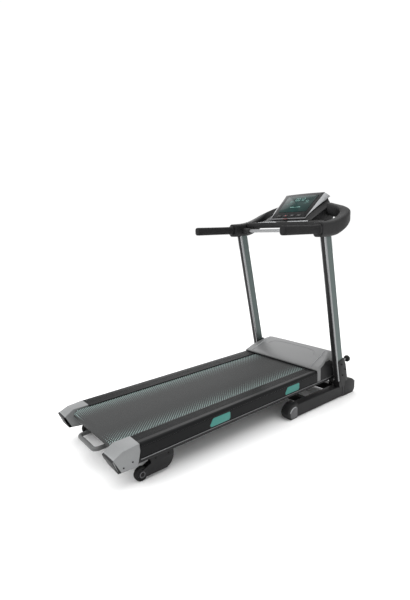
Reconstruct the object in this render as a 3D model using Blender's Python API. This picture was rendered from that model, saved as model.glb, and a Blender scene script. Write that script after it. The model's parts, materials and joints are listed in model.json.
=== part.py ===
"""Folding treadmill: a base with two raked uprights and a console, and a deck that folds up.

The deck turns about its front pivot.

Frame: +Y points the way the runner faces, +X is the runner's right, +Z is up, and the floor is z = 0.
Units are metres. The deck's pieces are modelled level and hang from an empty that gives the deck its slope.
"""

from math import atan, cos, degrees, pi, radians, sin

import bmesh
import bpy
from mathutils import Matrix, Vector

GAP = 0.0003

# Whole machine
HALF_LENGTH = 0.9015
DECK_HALF_WIDTH = 0.325
RAIL_TOP_Z = 0.2081
DECK_RISE = 0.018

# Running deck, in the level deck frame: z = 0 is the top of the foot rails
RAIL_REAR_Y = -0.758
HOOD_REAR_Y = 0.534
HOOD_FRONT_Y = 0.808
HOOD_WALL = 0.0025
RAIL_INNER_X = 0.2255
SKIRT_DEPTH = 0.072
SKIRT_WALL = 0.0025
SIDE_TUBE_X = (0.2830, 0.3205)
SIDE_TUBE_Z = (-0.0940, -0.0090)
SIDE_TUBE_Y = (-0.790, 0.780)
TUBE_WALL = 0.002
BELT_TOP = -0.0070
BELT_THICK = 0.0016
BELT_HALF_WIDTH = 0.2290
ROLLER_RADIUS = 0.0250
ROLLER_HALF = 0.2300
REAR_ROLLER_Y = -0.818
FRONT_ROLLER_Y = 0.590
BOARD_THICK = 0.018
BOARD_Y = (-0.780, 0.550)
LOW_CROSS_Z = (-0.0936, -0.0672)

# Fold pivot, in the room's frame
PIVOT_Y = 0.765
PIVOT_Z = 0.165
PIN_RADIUS = 0.006
LUG_X = (0.2690, 0.2790)
LUG_NOTCH_Z = -0.0420

# Base
BASE_RAIL_X = (0.312, 0.364)
BASE_RAIL_TOP = 0.081
BASE_RAIL_BOTTOM = 0.004
REAR_CROSS_Y = (0.405, 0.445)
REAR_CROSS_Z = (0.032, 0.072)
FRONT_CROSS_Z = (0.020, 0.070)
NOSE_Y = (0.200, 0.290)
NOSE_RADIUS = 0.062
NOSE_CENTRE_BACK = 0.028
CAP_Y = (0.7600, HALF_LENGTH)
FRONT_CROSS_Y = (0.735, 0.785)

# Uprights
UPRIGHT_X = 0.3566
UPRIGHT_FOOT = (0.7275, 0.129)
UPRIGHT_RAKE = atan(0.1997)
UPRIGHT_SIZE = (0.038, 0.066)
UPRIGHT_LENGTH = 0.990

# Handles and console
GRIP_X = 0.370
GRIP_Y = (0.133, 0.449)
GRIP_Z = 1.1125
GRIP_SIZE = (0.044, 0.052)
HANDLE_RADIUS = 0.014
CROSSBAR_AT = (0.532, 1.107)
CROSSBAR_REACH = 0.3270
PANEL_FOOT = (0.613, 1.188)
PANEL_HEAD = (0.798, 1.353)
PANEL_HALF = (0.145, 0.1616)
PANEL_THICK = 0.007
CONSOLE_HALF = 0.199
TRAY_HALF = 0.3285
CUP_WELL = (0.2650, 0.6130, 1.1660)
KEYS = (("key_slower", -0.084), ("key_stop", -0.028), ("key_start", 0.028), ("key_faster", 0.084))
KEY_HALF = 0.016
KEY_UP = (0.050, 0.125)
PLUNGER_AT = (UPRIGHT_X, 0.777, 0.253)

# Rear support wheels
WHEEL_Y = -0.7466
WHEEL_RADIUS = 0.034
WHEEL_X = 0.296
WHEEL_HALF = 0.0115

# Transport wheels
TRANSPORT_AT = (0.850, 0.0300)

# Gas strut
STRUT_BASE = (0.7150, 0.0600)
STRUT_DECK = (0.3150, 0.1000)
STRUT_RADIUS = 0.011
STRUT_ROD_RADIUS = 0.005

# Motor, and the fittings in the hood's front wall
MOTOR_Y = 0.690
MOTOR_Z = -0.004
INLET_X = -0.215
SWITCH_X = -0.150
FITTING_Z = -0.038

# Hood sections: station y, roof half-width, roof height, foot half-width; side walls are upright to the knee
HOOD_KNEE_Z = -0.006
HOOD_STATIONS = (
    (HOOD_REAR_Y, 0.325, 0.012, 0.325), (0.600, 0.322, 0.036, 0.325), (0.680, 0.306, 0.066, 0.325),
    (0.735, 0.286, 0.082, 0.325), (0.770, 0.280, 0.074, 0.325), (HOOD_FRONT_Y, 0.276, 0.030, 0.320),
)

SIDES = (("left", -1), ("right", 1))


# ---------------------------------------------------------------- helpers

def clear_scene():
    """Remove whatever the scene holds."""
    for thing in list(bpy.data.objects):
        bpy.data.objects.remove(thing, do_unlink=True)


def finish(name, rgb, roughness, metallic=0.0):
    """A Principled material with one colour."""
    made = bpy.data.materials.new(name)
    made.use_nodes = True
    shader = made.node_tree.nodes["Principled BSDF"]
    shader.inputs["Base Color"].default_value = (*rgb, 1.0)
    shader.inputs["Roughness"].default_value = roughness
    shader.inputs["Metallic"].default_value = metallic
    return made


def place(name, mesh, material, at=(0, 0, 0), turn_x=0.0, parent=None, smooth=35):
    """Put a mesh in the scene as one named piece."""
    mesh.materials.clear()
    mesh.materials.append(material)
    mesh.shade_smooth()
    mesh.set_sharp_from_angle(angle=radians(smooth))
    piece = bpy.data.objects.new(name, mesh)
    piece.location = at
    piece.rotation_euler = (turn_x, 0, 0)
    piece.parent = parent
    bpy.context.scene.collection.objects.link(piece)
    return piece


def to_mesh(shape, name):
    """Turn a bmesh into a mesh with its faces outward."""
    bmesh.ops.remove_doubles(shape, verts=shape.verts, dist=1e-6)
    bmesh.ops.recalc_face_normals(shape, faces=shape.faces)
    mesh = bpy.data.meshes.new(name)
    shape.to_mesh(mesh)
    shape.free()
    return mesh


def empty(name, at, turn_x=0.0):
    """A plain frame for pieces to hang from."""
    frame = bpy.data.objects.new(name, None)
    frame.location = at
    frame.rotation_euler = (turn_x, 0, 0)
    bpy.context.scene.collection.objects.link(frame)
    return frame


def block_mesh(name, low, high, bevel=0.0, segments=2):
    """A box between two corners, its edges rounded."""
    shape = bmesh.new()
    bmesh.ops.create_cube(shape, size=1.0)
    size = Vector(high) - Vector(low)
    middle = (Vector(high) + Vector(low)) / 2
    bmesh.ops.scale(shape, vec=size, verts=shape.verts)
    bmesh.ops.translate(shape, vec=middle, verts=shape.verts)
    if bevel:
        bmesh.ops.bevel(
            shape, geom=shape.edges[:], offset=bevel, segments=segments, profile=0.5, affect="EDGES"
        )
    return to_mesh(shape, name)


def slab_mesh(name, outline, x_low, x_high, bevel=0.0, segments=2):
    """An outline of (y, z) points, pulled along X."""
    shape = bmesh.new()
    corners = [shape.verts.new((x_low, y, z)) for y, z in outline]
    face = shape.faces.new(corners)
    pulled = bmesh.ops.extrude_face_region(shape, geom=[face])
    moved = [v for v in pulled["geom"] if isinstance(v, bmesh.types.BMVert)]
    bmesh.ops.translate(shape, vec=(x_high - x_low, 0, 0), verts=moved)
    if bevel:
        edges = [e for e in shape.edges if abs(e.verts[0].co.x - e.verts[1].co.x) < 1e-7]
        bmesh.ops.bevel(shape, geom=edges, offset=bevel, segments=segments, profile=0.5, affect="EDGES")
    return to_mesh(shape, name)


def run_mesh(name, outline, y_low, y_high):
    """An outline of (x, z) points, pulled along Y."""
    shape = bmesh.new()
    corners = [shape.verts.new((x, y_low, z)) for x, z in outline]
    face = shape.faces.new(corners)
    pulled = bmesh.ops.extrude_face_region(shape, geom=[face])
    moved = [v for v in pulled["geom"] if isinstance(v, bmesh.types.BMVert)]
    bmesh.ops.translate(shape, vec=(0, y_high - y_low, 0), verts=moved)
    return to_mesh(shape, name)


def loft_mesh(name, rings):
    """A closed skin through rings that have the same number of points."""
    shape = bmesh.new()
    loops = [[shape.verts.new(point) for point in ring] for ring in rings]
    for near, far in zip(loops, loops[1:]):
        for i in range(len(near)):
            j = (i + 1) % len(near)
            shape.faces.new((near[i], near[j], far[j], far[i]))
    shape.faces.new(loops[0])
    shape.faces.new(loops[-1])
    return to_mesh(shape, name)


def hull_mesh(name, points):
    """The tight skin round a few points."""
    shape = bmesh.new()
    for point in points:
        shape.verts.new(point)
    found = bmesh.ops.convex_hull(shape, input=shape.verts)
    spare = [v for v in found["geom_interior"] if isinstance(v, bmesh.types.BMVert)]
    bmesh.ops.delete(shape, geom=spare, context="VERTS")
    return to_mesh(shape, name)


def turned_mesh(name, profile, steps=32):
    """A profile of (radius, x) points spun round the X axis, closed on the axis."""
    shape = bmesh.new()
    points = [shape.verts.new((x, 0, radius)) for radius, x in profile]
    edges = [shape.edges.new(pair) for pair in zip(points, points[1:])]
    bmesh.ops.spin(
        shape, geom=points + edges, cent=(0, 0, 0), axis=(1, 0, 0), angle=2 * pi, steps=steps,
        use_merge=True,
    )
    return to_mesh(shape, name)


def ring_mesh(name, outer, inner, x_low, x_high, steps=32):
    """A round tube along X."""
    return turned_mesh(
        name, [(inner, x_low), (outer, x_low), (outer, x_high), (inner, x_high), (inner, x_low)], steps
    )


def rounded(half_width, half_height, corner, steps=3):
    """Points round a rectangle with round corners, as (across, up) pairs."""
    points = []
    for quarter, (sx, sy) in enumerate(((1, 1), (-1, 1), (-1, -1), (1, -1))):
        centre_x = sx * (half_width - corner)
        centre_y = sy * (half_height - corner)
        for step in range(steps + 1):
            angle = pi / 2 * (quarter + step / steps)
            points.append((centre_x + corner * cos(angle), centre_y + corner * sin(angle)))
    return points


def box_tube_mesh(name, low, high, wall, corner=0.004, along="y"):
    """A hollow rectangular tube with open ends, along X or Y."""
    low, high = Vector(low), Vector(high)
    middle = (low + high) / 2
    half = (high - low) / 2
    across = half.x if along == "y" else half.y
    outer = rounded(across, half.z, corner, 2)
    inner = rounded(across - wall, half.z - wall, corner - wall / 2, 2)
    run = half.y if along == "y" else half.x
    rings = []
    for loop, end in ((outer, -1), (outer, 1), (inner, 1), (inner, -1), (outer, -1)):
        if along == "y":
            rings.append([middle + Vector((a, end * run, b)) for a, b in loop])
        else:
            rings.append([middle + Vector((end * run, a, b)) for a, b in loop])
    shape = bmesh.new()
    loops = [[shape.verts.new(point) for point in ring] for ring in rings[:-1]]
    loops.append(loops[0])
    for near, far in zip(loops, loops[1:]):
        for i in range(len(near)):
            j = (i + 1) % len(near)
            shape.faces.new((near[i], near[j], far[j], far[i]))
    return to_mesh(shape, name)


def cut(piece, cutter):
    """Take the cutter's shape out of a piece."""
    cutter.hide_render = True
    cutter.display_type = "WIRE"
    change = piece.modifiers.new("cut_" + cutter.name, "BOOLEAN")
    change.operation = "DIFFERENCE"
    change.solver = "EXACT"
    change.object = cutter


def join(piece, helper):
    """Weld the helper's shape onto a piece."""
    helper.hide_render = True
    helper.display_type = "WIRE"
    change = piece.modifiers.new("weld_" + helper.name, "BOOLEAN")
    change.operation = "UNION"
    change.solver = "EXACT"
    change.object = helper


def arc(centre, radius, start, end, steps):
    """(y, z) points along an arc, angles in degrees."""
    points = []
    for step in range(steps + 1):
        angle = radians(start + (end - start) * step / steps)
        points.append((centre[0] + radius * cos(angle), centre[1] + radius * sin(angle)))
    return points


def smooth_path(points, per_span=6):
    """Points along a Catmull-Rom curve through the given ones."""
    ends = [points[0]] + list(points) + [points[-1]]
    found = []
    for a, b, c, d in zip(ends, ends[1:], ends[2:], ends[3:]):
        a, b, c, d = Vector(a), Vector(b), Vector(c), Vector(d)
        for step in range(per_span):
            t = step / per_span
            curve = (2 * a - 5 * b + 4 * c - d) * t**2 + (3 * b - a - 3 * c + d) * t**3
            found.append(0.5 * (2 * b + (c - a) * t + curve))
    found.append(Vector(points[-1]))
    return found


def bent_tube(name, points, radius, material, parent=None, at=(0, 0, 0)):
    """A round bar along a path."""
    curve = bpy.data.curves.new(name, "CURVE")
    curve.dimensions = "3D"
    curve.bevel_depth = radius
    curve.bevel_resolution = 3
    curve.use_fill_caps = True
    spline = curve.splines.new("POLY")
    spline.points.add(len(points) - 1)
    for slot, point in zip(spline.points, points):
        slot.co = (*point, 1.0)
    curve.materials.append(material)
    piece = bpy.data.objects.new(name, curve)
    piece.location = at
    piece.parent = parent
    bpy.context.scene.collection.objects.link(piece)
    return piece


# ---------------------------------------------------------------- finishes

def finishes():
    """Every finish of the machine, by name."""
    return {
        "black_paint": finish("black_paint", (0.022, 0.022, 0.024), 0.45),
        "black_plastic": finish("black_plastic", (0.020, 0.021, 0.021), 0.55),
        "grey_paint": finish("grey_paint", (0.36, 0.37, 0.37), 0.40),
        "silver_plastic": finish("silver_plastic", (0.33, 0.34, 0.34), 0.42),
        "aluminium": finish("aluminium", (0.48, 0.50, 0.51), 0.35, 0.9),
        "belt": finish("belt", (0.085, 0.088, 0.088), 0.80),
        "foam": finish("foam", (0.018, 0.018, 0.019), 0.85),
        "screen": finish("screen", (0.010, 0.045, 0.042), 0.12),
        "glossy_black": finish("glossy_black", (0.008, 0.008, 0.009), 0.12),
        "steel": finish("steel", (0.55, 0.55, 0.56), 0.30, 1.0),
        "rubber": finish("rubber", (0.020, 0.020, 0.020), 0.85),
        "board": finish("board", (0.10, 0.065, 0.04), 0.60),
        "circuit": finish("circuit", (0.02, 0.14, 0.06), 0.50),
        "red_plastic": finish("red_plastic", (0.55, 0.03, 0.03), 0.40),
    }


# ---------------------------------------------------------------- base

def base_rail(side, sign, looks):
    """One steel floor tube."""
    x_low, x_high = sorted((sign * BASE_RAIL_X[0], sign * BASE_RAIL_X[1]))
    low = (x_low, NOSE_Y[1] + GAP, BASE_RAIL_BOTTOM)
    high = (x_high, CAP_Y[0] - GAP, BASE_RAIL_TOP)
    mesh = box_tube_mesh("base_rail", low, high, TUBE_WALL)
    place(f"base_rail_{side}", mesh, looks["black_paint"])


def base_nose(side, sign, looks):
    """The rounded plastic end that closes a floor tube at the back and rests on the floor."""
    low_y, high_y = NOSE_Y
    top = BASE_RAIL_TOP + 0.012
    outline = [(high_y, 0.0), (high_y, top)]
    outline += arc((high_y - NOSE_CENTRE_BACK, top - NOSE_RADIUS), NOSE_RADIUS, 90, 168, 7)
    outline += [(low_y + 0.010, 0.022), (low_y + 0.030, 0.0)]
    x_low, x_high = sorted((sign * (BASE_RAIL_X[0] - 0.002), sign * (BASE_RAIL_X[1] + 0.002)))
    mesh = slab_mesh("base_nose", outline, x_low, x_high, bevel=0.003)
    place(f"base_nose_{side}", mesh, looks["black_plastic"])


def base_cap(side, sign, looks):
    """The plastic front end of a floor tube, hollow underneath for its transport wheel."""
    low_y, high_y = CAP_Y
    outline = [
        (low_y, 0.0), (low_y, 0.102), (low_y + 0.060, 0.112), (high_y - 0.030, 0.100),
        (high_y, 0.078), (high_y, 0.026), (high_y - 0.020, 0.0),
    ]
    x_low, x_high = sorted((sign * (BASE_RAIL_X[0] - 0.002), sign * (BASE_RAIL_X[1] + 0.002)))
    mesh = slab_mesh("base_cap", outline, x_low, x_high, bevel=0.004)
    cap = place(f"base_cap_{side}", mesh, looks["black_plastic"])
    middle = (x_low + x_high) / 2
    well = block_mesh("well", (middle - 0.0155, 0.818, -0.010), (middle + 0.0155, 0.882, 0.0630))
    cut(cap, place(f"cap_well_{side}", well, looks["black_plastic"]))
    wheel = turned_mesh(
        "transport_wheel",
        [(0, -0.0125), (0.024, -0.0125), (0.027, -0.0095), (0.027, 0.0095), (0.024, 0.0125), (0, 0.0125)], 24,
    )
    place(f"transport_wheel_{side}", wheel, looks["rubber"], at=(middle, *TRANSPORT_AT))


def base_cross_rear(looks):
    """The rear tube between the floor rails."""
    reach = BASE_RAIL_X[0] - 0.002 - GAP
    low = (-reach, REAR_CROSS_Y[0], REAR_CROSS_Z[0])
    high = (reach, REAR_CROSS_Y[1], REAR_CROSS_Z[1])
    mesh = box_tube_mesh("base_cross_rear", low, high, TUBE_WALL, along="x")
    place("base_cross_rear", mesh, looks["black_paint"])


def lug_outline():
    """The side view of a fold lug: a foot on the cross tube and a round eye at the pivot."""
    outline = [(FRONT_CROSS_Y[0] + 0.002, 0.060), (FRONT_CROSS_Y[1] - 0.002, 0.060)]
    outline += arc((PIVOT_Y, PIVOT_Z), 0.018, -10, 190, 10)
    return outline


def base_front_frame(looks):
    """The front cross tube with the two fold lugs and the strut's ears welded on."""
    reach = BASE_RAIL_X[0] - 0.002 - GAP
    low = (-reach, FRONT_CROSS_Y[0], FRONT_CROSS_Z[0])
    high = (reach, FRONT_CROSS_Y[1], FRONT_CROSS_Z[1])
    mesh = block_mesh("base_front_frame", low, high, 0.004)
    frame = place("base_front_frame", mesh, looks["black_paint"])
    for side, sign in SIDES:
        x_low, x_high = sorted((sign * LUG_X[0], sign * LUG_X[1]))
        lug = place(f"fold_lug_{side}", slab_mesh("lug", lug_outline(), x_low, x_high), looks["black_paint"])
        join(frame, lug)
        pivot = (0, PIVOT_Y, PIVOT_Z)
        bore = ring_cutter(f"fold_bore_{side}", PIN_RADIUS + GAP, sign * 0.274, 0.020, pivot, looks)
        cut(frame, bore)
        outline = [(STRUT_BASE[0] + 0.024, 0.040), (STRUT_BASE[0] + 0.024, 0.068)]
        outline += arc(STRUT_BASE, 0.012, 70, 250, 7)
        ear = slab_mesh("ear", outline, *sorted((sign * 0.0085, sign * 0.0125)))
        join(frame, place(f"strut_ear_{side}", ear, looks["black_paint"]))
        cut(frame, ring_cutter(f"ear_bore_{side}", 0.0043, sign * 0.0105, 0.008, (0, *STRUT_BASE), looks))


def ring_cutter(name, radius, x_middle, length, at, looks):
    """A round cutter along X."""
    half = length / 2
    mesh = turned_mesh(name, [(0, -half), (radius, -half), (radius, half), (0, half)], 24)
    return place(name, mesh, looks["black_paint"], at=(x_middle, at[1], at[2]))


def pivot_pin(side, sign, looks):
    """The headed pin that the deck folds about."""
    inner, outer = 0.2640, 0.3180
    profile = [
        (0, inner - 0.004), (0.010, inner - 0.004), (0.010, inner + 0.0045), (PIN_RADIUS, inner + 0.0045),
        (PIN_RADIUS, outer - 0.001), (PIN_RADIUS - 0.001, outer), (0, outer),
    ]
    mesh = turned_mesh("pivot_pin", [(radius, sign * x) for radius, x in profile], 24)
    place(f"pivot_pin_{side}", mesh, looks["steel"], at=(0, PIVOT_Y, PIVOT_Z))


# ---------------------------------------------------------------- uprights

def upright(side, sign, looks):
    """One raked aluminium upright, an oblong tube."""
    half_x, half_y = UPRIGHT_SIZE[0] / 2, UPRIGHT_SIZE[1] / 2
    outer = rounded(half_x, half_y, 0.009, 3)
    inner = rounded(half_x - 0.0025, half_y - 0.0025, 0.0065, 3)
    shape = bmesh.new()
    loops = []
    for loop, height in ((outer, 0.0), (outer, UPRIGHT_LENGTH), (inner, UPRIGHT_LENGTH), (inner, 0.0)):
        loops.append([shape.verts.new((a, b, height)) for a, b in loop])
    loops.append(loops[0])
    for near, far in zip(loops, loops[1:]):
        for i in range(len(near)):
            j = (i + 1) % len(near)
            shape.faces.new((near[i], near[j], far[j], far[i]))
    mesh = to_mesh(shape, "upright")
    place(
        f"upright_{side}", mesh, looks["aluminium"],
        at=(sign * UPRIGHT_X, UPRIGHT_FOOT[0], UPRIGHT_FOOT[1]), turn_x=UPRIGHT_RAKE,
    )


def socket(side, sign, looks):
    """The black steel shoe that holds an upright on its floor rail, open at the back."""
    half_x, half_y = UPRIGHT_SIZE[0] / 2, UPRIGHT_SIZE[1] / 2
    wall = 0.0042
    outline = [
        (-half_y + 0.010, -0.080), (-half_y + 0.010, 0.142), (half_y + 0.012, 0.142), (half_y + 0.036, 0.090),
        (half_y + 0.036, -0.080),
    ]
    mesh = slab_mesh("socket", outline, -half_x - wall, half_x + wall, bevel=0.002, segments=1)
    at = (sign * UPRIGHT_X, UPRIGHT_FOOT[0], UPRIGHT_FOOT[1])
    shoe = place(f"socket_{side}", mesh, looks["black_paint"], at=at, turn_x=UPRIGHT_RAKE)
    foot_outline = [(-half_y - 0.003, -0.080), (-half_y - 0.003, -0.0010), (0, -0.0010), (0, -0.080)]
    foot = slab_mesh("foot", foot_outline, -half_x - wall, half_x + wall)
    join(shoe, place(f"socket_foot_{side}", foot, looks["black_paint"], at=at, turn_x=UPRIGHT_RAKE))
    slot = block_mesh("slot", (-half_x - GAP, -half_y - 0.020, -GAP), (half_x + GAP, half_y + GAP, 0.200))
    cut(shoe, place(f"socket_slot_{side}", slot, looks["black_paint"], at=at, turn_x=UPRIGHT_RAKE))
    x_low, x_high = sorted((sign * 0.200, sign * 0.500))
    below = block_mesh("below", (x_low, 0.400, -0.200), (x_high, CAP_Y[0] - 0.0005, BASE_RAIL_TOP + GAP))
    cut(shoe, place(f"socket_floor_{side}", below, looks["black_paint"]))
    front = block_mesh("front", (x_low, CAP_Y[0] - 0.001, -0.200), (x_high, 1.000, 0.1135))
    cut(shoe, place(f"socket_front_{side}", front, looks["black_paint"]))
    if sign > 0:
        bore = turned_mesh("bore", [(0, -0.050), (0.0045, -0.050), (0.0045, 0.050), (0, 0.050)], 20)
        hole = place("plunger_bore", bore, looks["black_paint"], at=PLUNGER_AT)
        hole.rotation_euler = (0, 0, pi / 2)
        cut(shoe, hole)


def lock_plunger(looks):
    """The sprung pull knob on the right shoe: a steel stem and a black head."""
    profile = [
        (0, -0.037), (0.0040, -0.037), (0.0040, 0.018), (0.008, 0.018), (0.0105, 0.020), (0.0175, 0.026),
        (0.0185, 0.033), (0.0170, 0.040), (0.0120, 0.045), (0, 0.0465),
    ]
    mesh = turned_mesh("lock_plunger", profile, 20)
    knob = place("lock_plunger", mesh, looks["black_plastic"], at=PLUNGER_AT)
    knob.rotation_euler = (0, 0, pi / 2)


# ---------------------------------------------------------------- handles and console

def crossbar(looks):
    """The round bar between the two shoulders, under the console."""
    reach = CROSSBAR_REACH
    profile = [(0, -reach), (0.011, -reach), (0.011, reach), (0, reach)]
    place("crossbar", turned_mesh("crossbar", profile, 24), looks["aluminium"], at=(0, *CROSSBAR_AT))


def handlebar(side, sign, looks):
    """The steel tube inside a grip, ending at its upright."""
    mesh = ring_mesh("handlebar", HANDLE_RADIUS, HANDLE_RADIUS - 0.0025, 0.146, 0.486, 20)
    bar = place(f"handlebar_{side}", mesh, looks["steel"], at=(sign * GRIP_X, 0, GRIP_Z))
    bar.rotation_euler = (0, 0, pi / 2)


def grip(side, sign, looks):
    """A foam grip with a closed rear end, bored for its tube."""
    half_x, half_z = GRIP_SIZE[0] / 2, GRIP_SIZE[1] / 2
    start, end = GRIP_Y
    rings = []
    for y, shrink in ((start, 0.80), (start + 0.003, 0.93), (start + 0.010, 1.0), (end, 1.0)):
        loop = rounded(half_x * shrink, half_z * shrink, 0.014 * shrink, 3)
        rings.append([(sign * GRIP_X + a, y, GRIP_Z + b) for a, b in loop])
    piece = place(f"grip_{side}", loft_mesh("grip", rings), looks["foam"])
    radius = HANDLE_RADIUS + GAP
    bore = turned_mesh("bore", [(0, 0.1455), (radius, 0.1455), (radius, 0.520), (0, 0.520)], 20)
    hole = place(f"grip_bore_{side}", bore, looks["foam"], at=(sign * GRIP_X, 0, GRIP_Z))
    hole.rotation_euler = (0, 0, pi / 2)
    cut(piece, hole)


def shoulder_rings(sign):
    """Round-cornered sections along the arm from the grip, forward and in to the console."""
    spine = smooth_path(
        [
            (0.3640, 0.4510, 1.1120), (0.3640, 0.5400, 1.1130), (0.3640, 0.6250, 1.1240),
            (0.3600, 0.7000, 1.1480), (0.3400, 0.7560, 1.1780), (0.2950, 0.7860, 1.1980),
            (0.2450, 0.7960, 1.2120), (0.2000, 0.7980, 1.2240),
        ],
        3,
    )
    rings = []
    for i, point in enumerate(spine):
        before = spine[max(i - 1, 0)]
        after = spine[min(i + 1, len(spine) - 1)]
        along = after - before
        along.z = 0
        if i == 0:
            along = Vector((0, 1, 0))
        if i == len(spine) - 1:
            along = Vector((-1, 0, 0))
        along.normalize()
        across = Vector((along.y, -along.x, 0))
        share = i / (len(spine) - 1)
        half_wide = 0.034 + 0.004 * share
        half_high = 0.044 + 0.018 * min(1.0, share * 2)
        loop = rounded(half_wide, half_high, 0.020, 3)
        ring = [point + across * a + Vector((0, 0, b)) for a, b in loop]
        rings.append([(sign * p.x, p.y, p.z) for p in ring])
    return rings


def shoulder(side, sign, looks):
    """The moulded arm that takes the upright's head, the handlebar and the console's side."""
    piece = place(f"shoulder_{side}", loft_mesh("shoulder", shoulder_rings(sign)), looks["black_plastic"])
    loop = rounded(UPRIGHT_SIZE[0] / 2 + GAP, UPRIGHT_SIZE[1] / 2 + GAP, 0.0093, 3)
    pocket = loft_mesh("pocket", [[(a, b, z) for a, b in loop] for z in (0.0, UPRIGHT_LENGTH + GAP)])
    hole = place(
        f"shoulder_pocket_{side}", pocket, looks["black_plastic"],
        at=(sign * UPRIGHT_X, UPRIGHT_FOOT[0], UPRIGHT_FOOT[1]), turn_x=UPRIGHT_RAKE,
    )
    cut(piece, hole)
    radius = HANDLE_RADIUS + GAP
    bore = turned_mesh("bore", [(0, 0.4400), (radius, 0.4400), (radius, 0.4865), (0, 0.4865)], 20)
    socket_hole = place(f"shoulder_bore_{side}", bore, looks["black_plastic"], at=(sign * GRIP_X, 0, GRIP_Z))
    socket_hole.rotation_euler = (0, 0, pi / 2)
    cut(piece, socket_hole)


def panel_point(share_up, off):
    """A (y, z) point on the panel's face, a share of the way up it and off it by some distance."""
    foot, head = Vector(PANEL_FOOT), Vector(PANEL_HEAD)
    up = (head - foot).normalized()
    normal = Vector((-up.y, up.x))
    point = foot + (head - foot) * share_up + normal * off
    return (point.x, point.y)


def wedge_outline(drop):
    """The console's side view through the panel; the head may be lower by some drop."""
    under = -PANEL_THICK - GAP
    foot = panel_point(-0.06, under)
    head = panel_point(1.0, under)
    return [
        (0.5600, 1.1250), (0.5545, 1.1350), (0.5545, 1.1600), (0.5600, 1.1660), (foot[0], foot[1]),
        (head[0] + drop * 0.15, head[1] - drop), (head[0] + 0.016, head[1] - 0.004 - drop),
        (0.8420, 1.2650 - drop * 0.3), (0.8500, 1.2100), (0.8350, 1.1650), (0.7900, 1.1400), (0.7000, 1.1280),
    ]


def console_rings():
    """Side views at stations across the wedge, lower at both ends."""
    inner, fall, steps = 0.1470, 0.076, 4
    shares = [i / steps for i in range(steps + 1)]
    half = [(CONSOLE_HALF - (CONSOLE_HALF - inner) * share, fall * (1 - share)) for share in shares]
    stations = half + [(-x, drop) for x, drop in reversed(half)]
    return [[(-x, y, z) for y, z in wedge_outline(drop)] for x, drop in stations]


def tray_rings():
    """Side views at stations across the trays, which reach from shoulder to shoulder."""
    rings = []
    for x, rear in ((-TRAY_HALF, 0.630), (-0.2600, 0.700), (-0.1900, 0.745), (0.1900, 0.745), (0.2600, 0.700),
                    (TRAY_HALF, 0.630)):
        outline = [
            (0.5610, 1.1260), (0.5560, 1.1350), (0.5560, 1.1590), (0.5620, 1.1650), (rear - 0.006, 1.1650),
            (rear, 1.1600), (rear, 1.1400), (rear - 0.015, 1.1300),
        ]
        rings.append([(x, y, z) for y, z in outline])
    return rings


def strip_mesh(sign):
    """A bezel side strip: its inner edge lies on the panel's plane and its outer edge turns back."""
    rings = []
    for up, inner, outer, fall in (
        (-0.040, 0.1458, 0.1500, 0.0005), (0.30, 0.1508, 0.1640, 0.0030), (0.65, 0.1565, 0.1790, 0.0150),
        (0.99, 0.1620, 0.1900, 0.0330),
    ):
        corners = ((inner, 0.0005), (outer, -fall), (outer, -fall - 0.0050), (inner, -0.0050))
        rings.append([(sign * x, *panel_point(up, off)) for x, off in corners])
    return loft_mesh("strip", rings)


def panel_block(name, half, ups, offs):
    """A block square to the panel, between two shares of its length and two distances off its face."""
    return hull_mesh(name, [(x, *panel_point(up, off)) for x in (-half, half) for up in ups for off in offs])


def console_body(looks):
    """The console housing: a wedge behind the panel and a tray with a cup well at each side."""
    body = place("console_body", loft_mesh("console_body", console_rings()), looks["black_plastic"])
    pocket = panel_block("pocket", 0.115, (0.20, 0.88), (-0.030, 0.010))
    join(body, place("console_tray", loft_mesh("tray", tray_rings()), looks["black_plastic"]))
    cut(body, place("board_pocket", pocket, looks["black_plastic"]))
    for side, sign in SIDES:
        well = turned_mesh("well", [(0, -0.033), (0.034, -0.033), (0.036, 0.010), (0, 0.010)], 28)
        hole = place(f"cup_well_{side}", well, looks["black_plastic"], at=(sign * CUP_WELL[0], *CUP_WELL[1:]))
        hole.rotation_euler = (0, -pi / 2, 0)
        cut(body, hole)
    key_slot = panel_block("key_slot", 0.013, (-0.118, -0.072), (-0.032, 0.010))
    cut(body, place("key_slot", key_slot, looks["black_plastic"]))


def tapered_plate(name, lows, highs, ups, offs):
    """A plate on the panel's slope; its half-width goes from one value at the foot to another at the head."""
    points = []
    for up, low, high in zip(ups, lows, highs):
        for x in (low, high):
            for off in offs:
                points.append((x, *panel_point(up, off)))
    return hull_mesh(name, points)


def console_panel(looks):
    """The black front panel, with a pocket for each key."""
    mesh = tapered_plate(
        "console_panel", (-PANEL_HALF[0], -PANEL_HALF[1]), PANEL_HALF, (0.0, 1.0), (-PANEL_THICK, 0.0)
    )
    panel = place("console_panel", mesh, looks["glossy_black"])
    for name, x in KEYS:
        hole = hull_mesh(
            "hole",
            [
                (x + dx, *panel_point(up, off))
                for dx in (-KEY_HALF - GAP, KEY_HALF + GAP)
                for up in (KEY_UP[0] - 0.0012, KEY_UP[1] + 0.0012)
                for off in (-0.0060, 0.010)
            ],
        )
        cut(panel, place(f"{name}_pocket", hole, looks["glossy_black"]))


def keys(looks):
    """The four push keys along the panel's foot."""
    for name, x in KEYS:
        centre = panel_point((KEY_UP[0] + KEY_UP[1]) / 2, 0.0)
        points = [
            (dx, panel_point(up, off)[0] - centre[0], panel_point(up, off)[1] - centre[1])
            for dx in (-KEY_HALF, KEY_HALF)
            for up in KEY_UP
            for off in (-0.0030, 0.0022)
        ]
        finish_name = "red_plastic" if name == "key_stop" else "silver_plastic"
        place(name, hull_mesh(name, points), looks[finish_name], at=(x, centre[0], centre[1]))


def display(looks):
    """The display window, a thin pane on the panel."""
    mesh = tapered_plate("display", (-0.116, -0.124), (0.116, 0.124), (0.24, 0.90), (GAP, 0.0013))
    place("display", mesh, looks["screen"])


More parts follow.
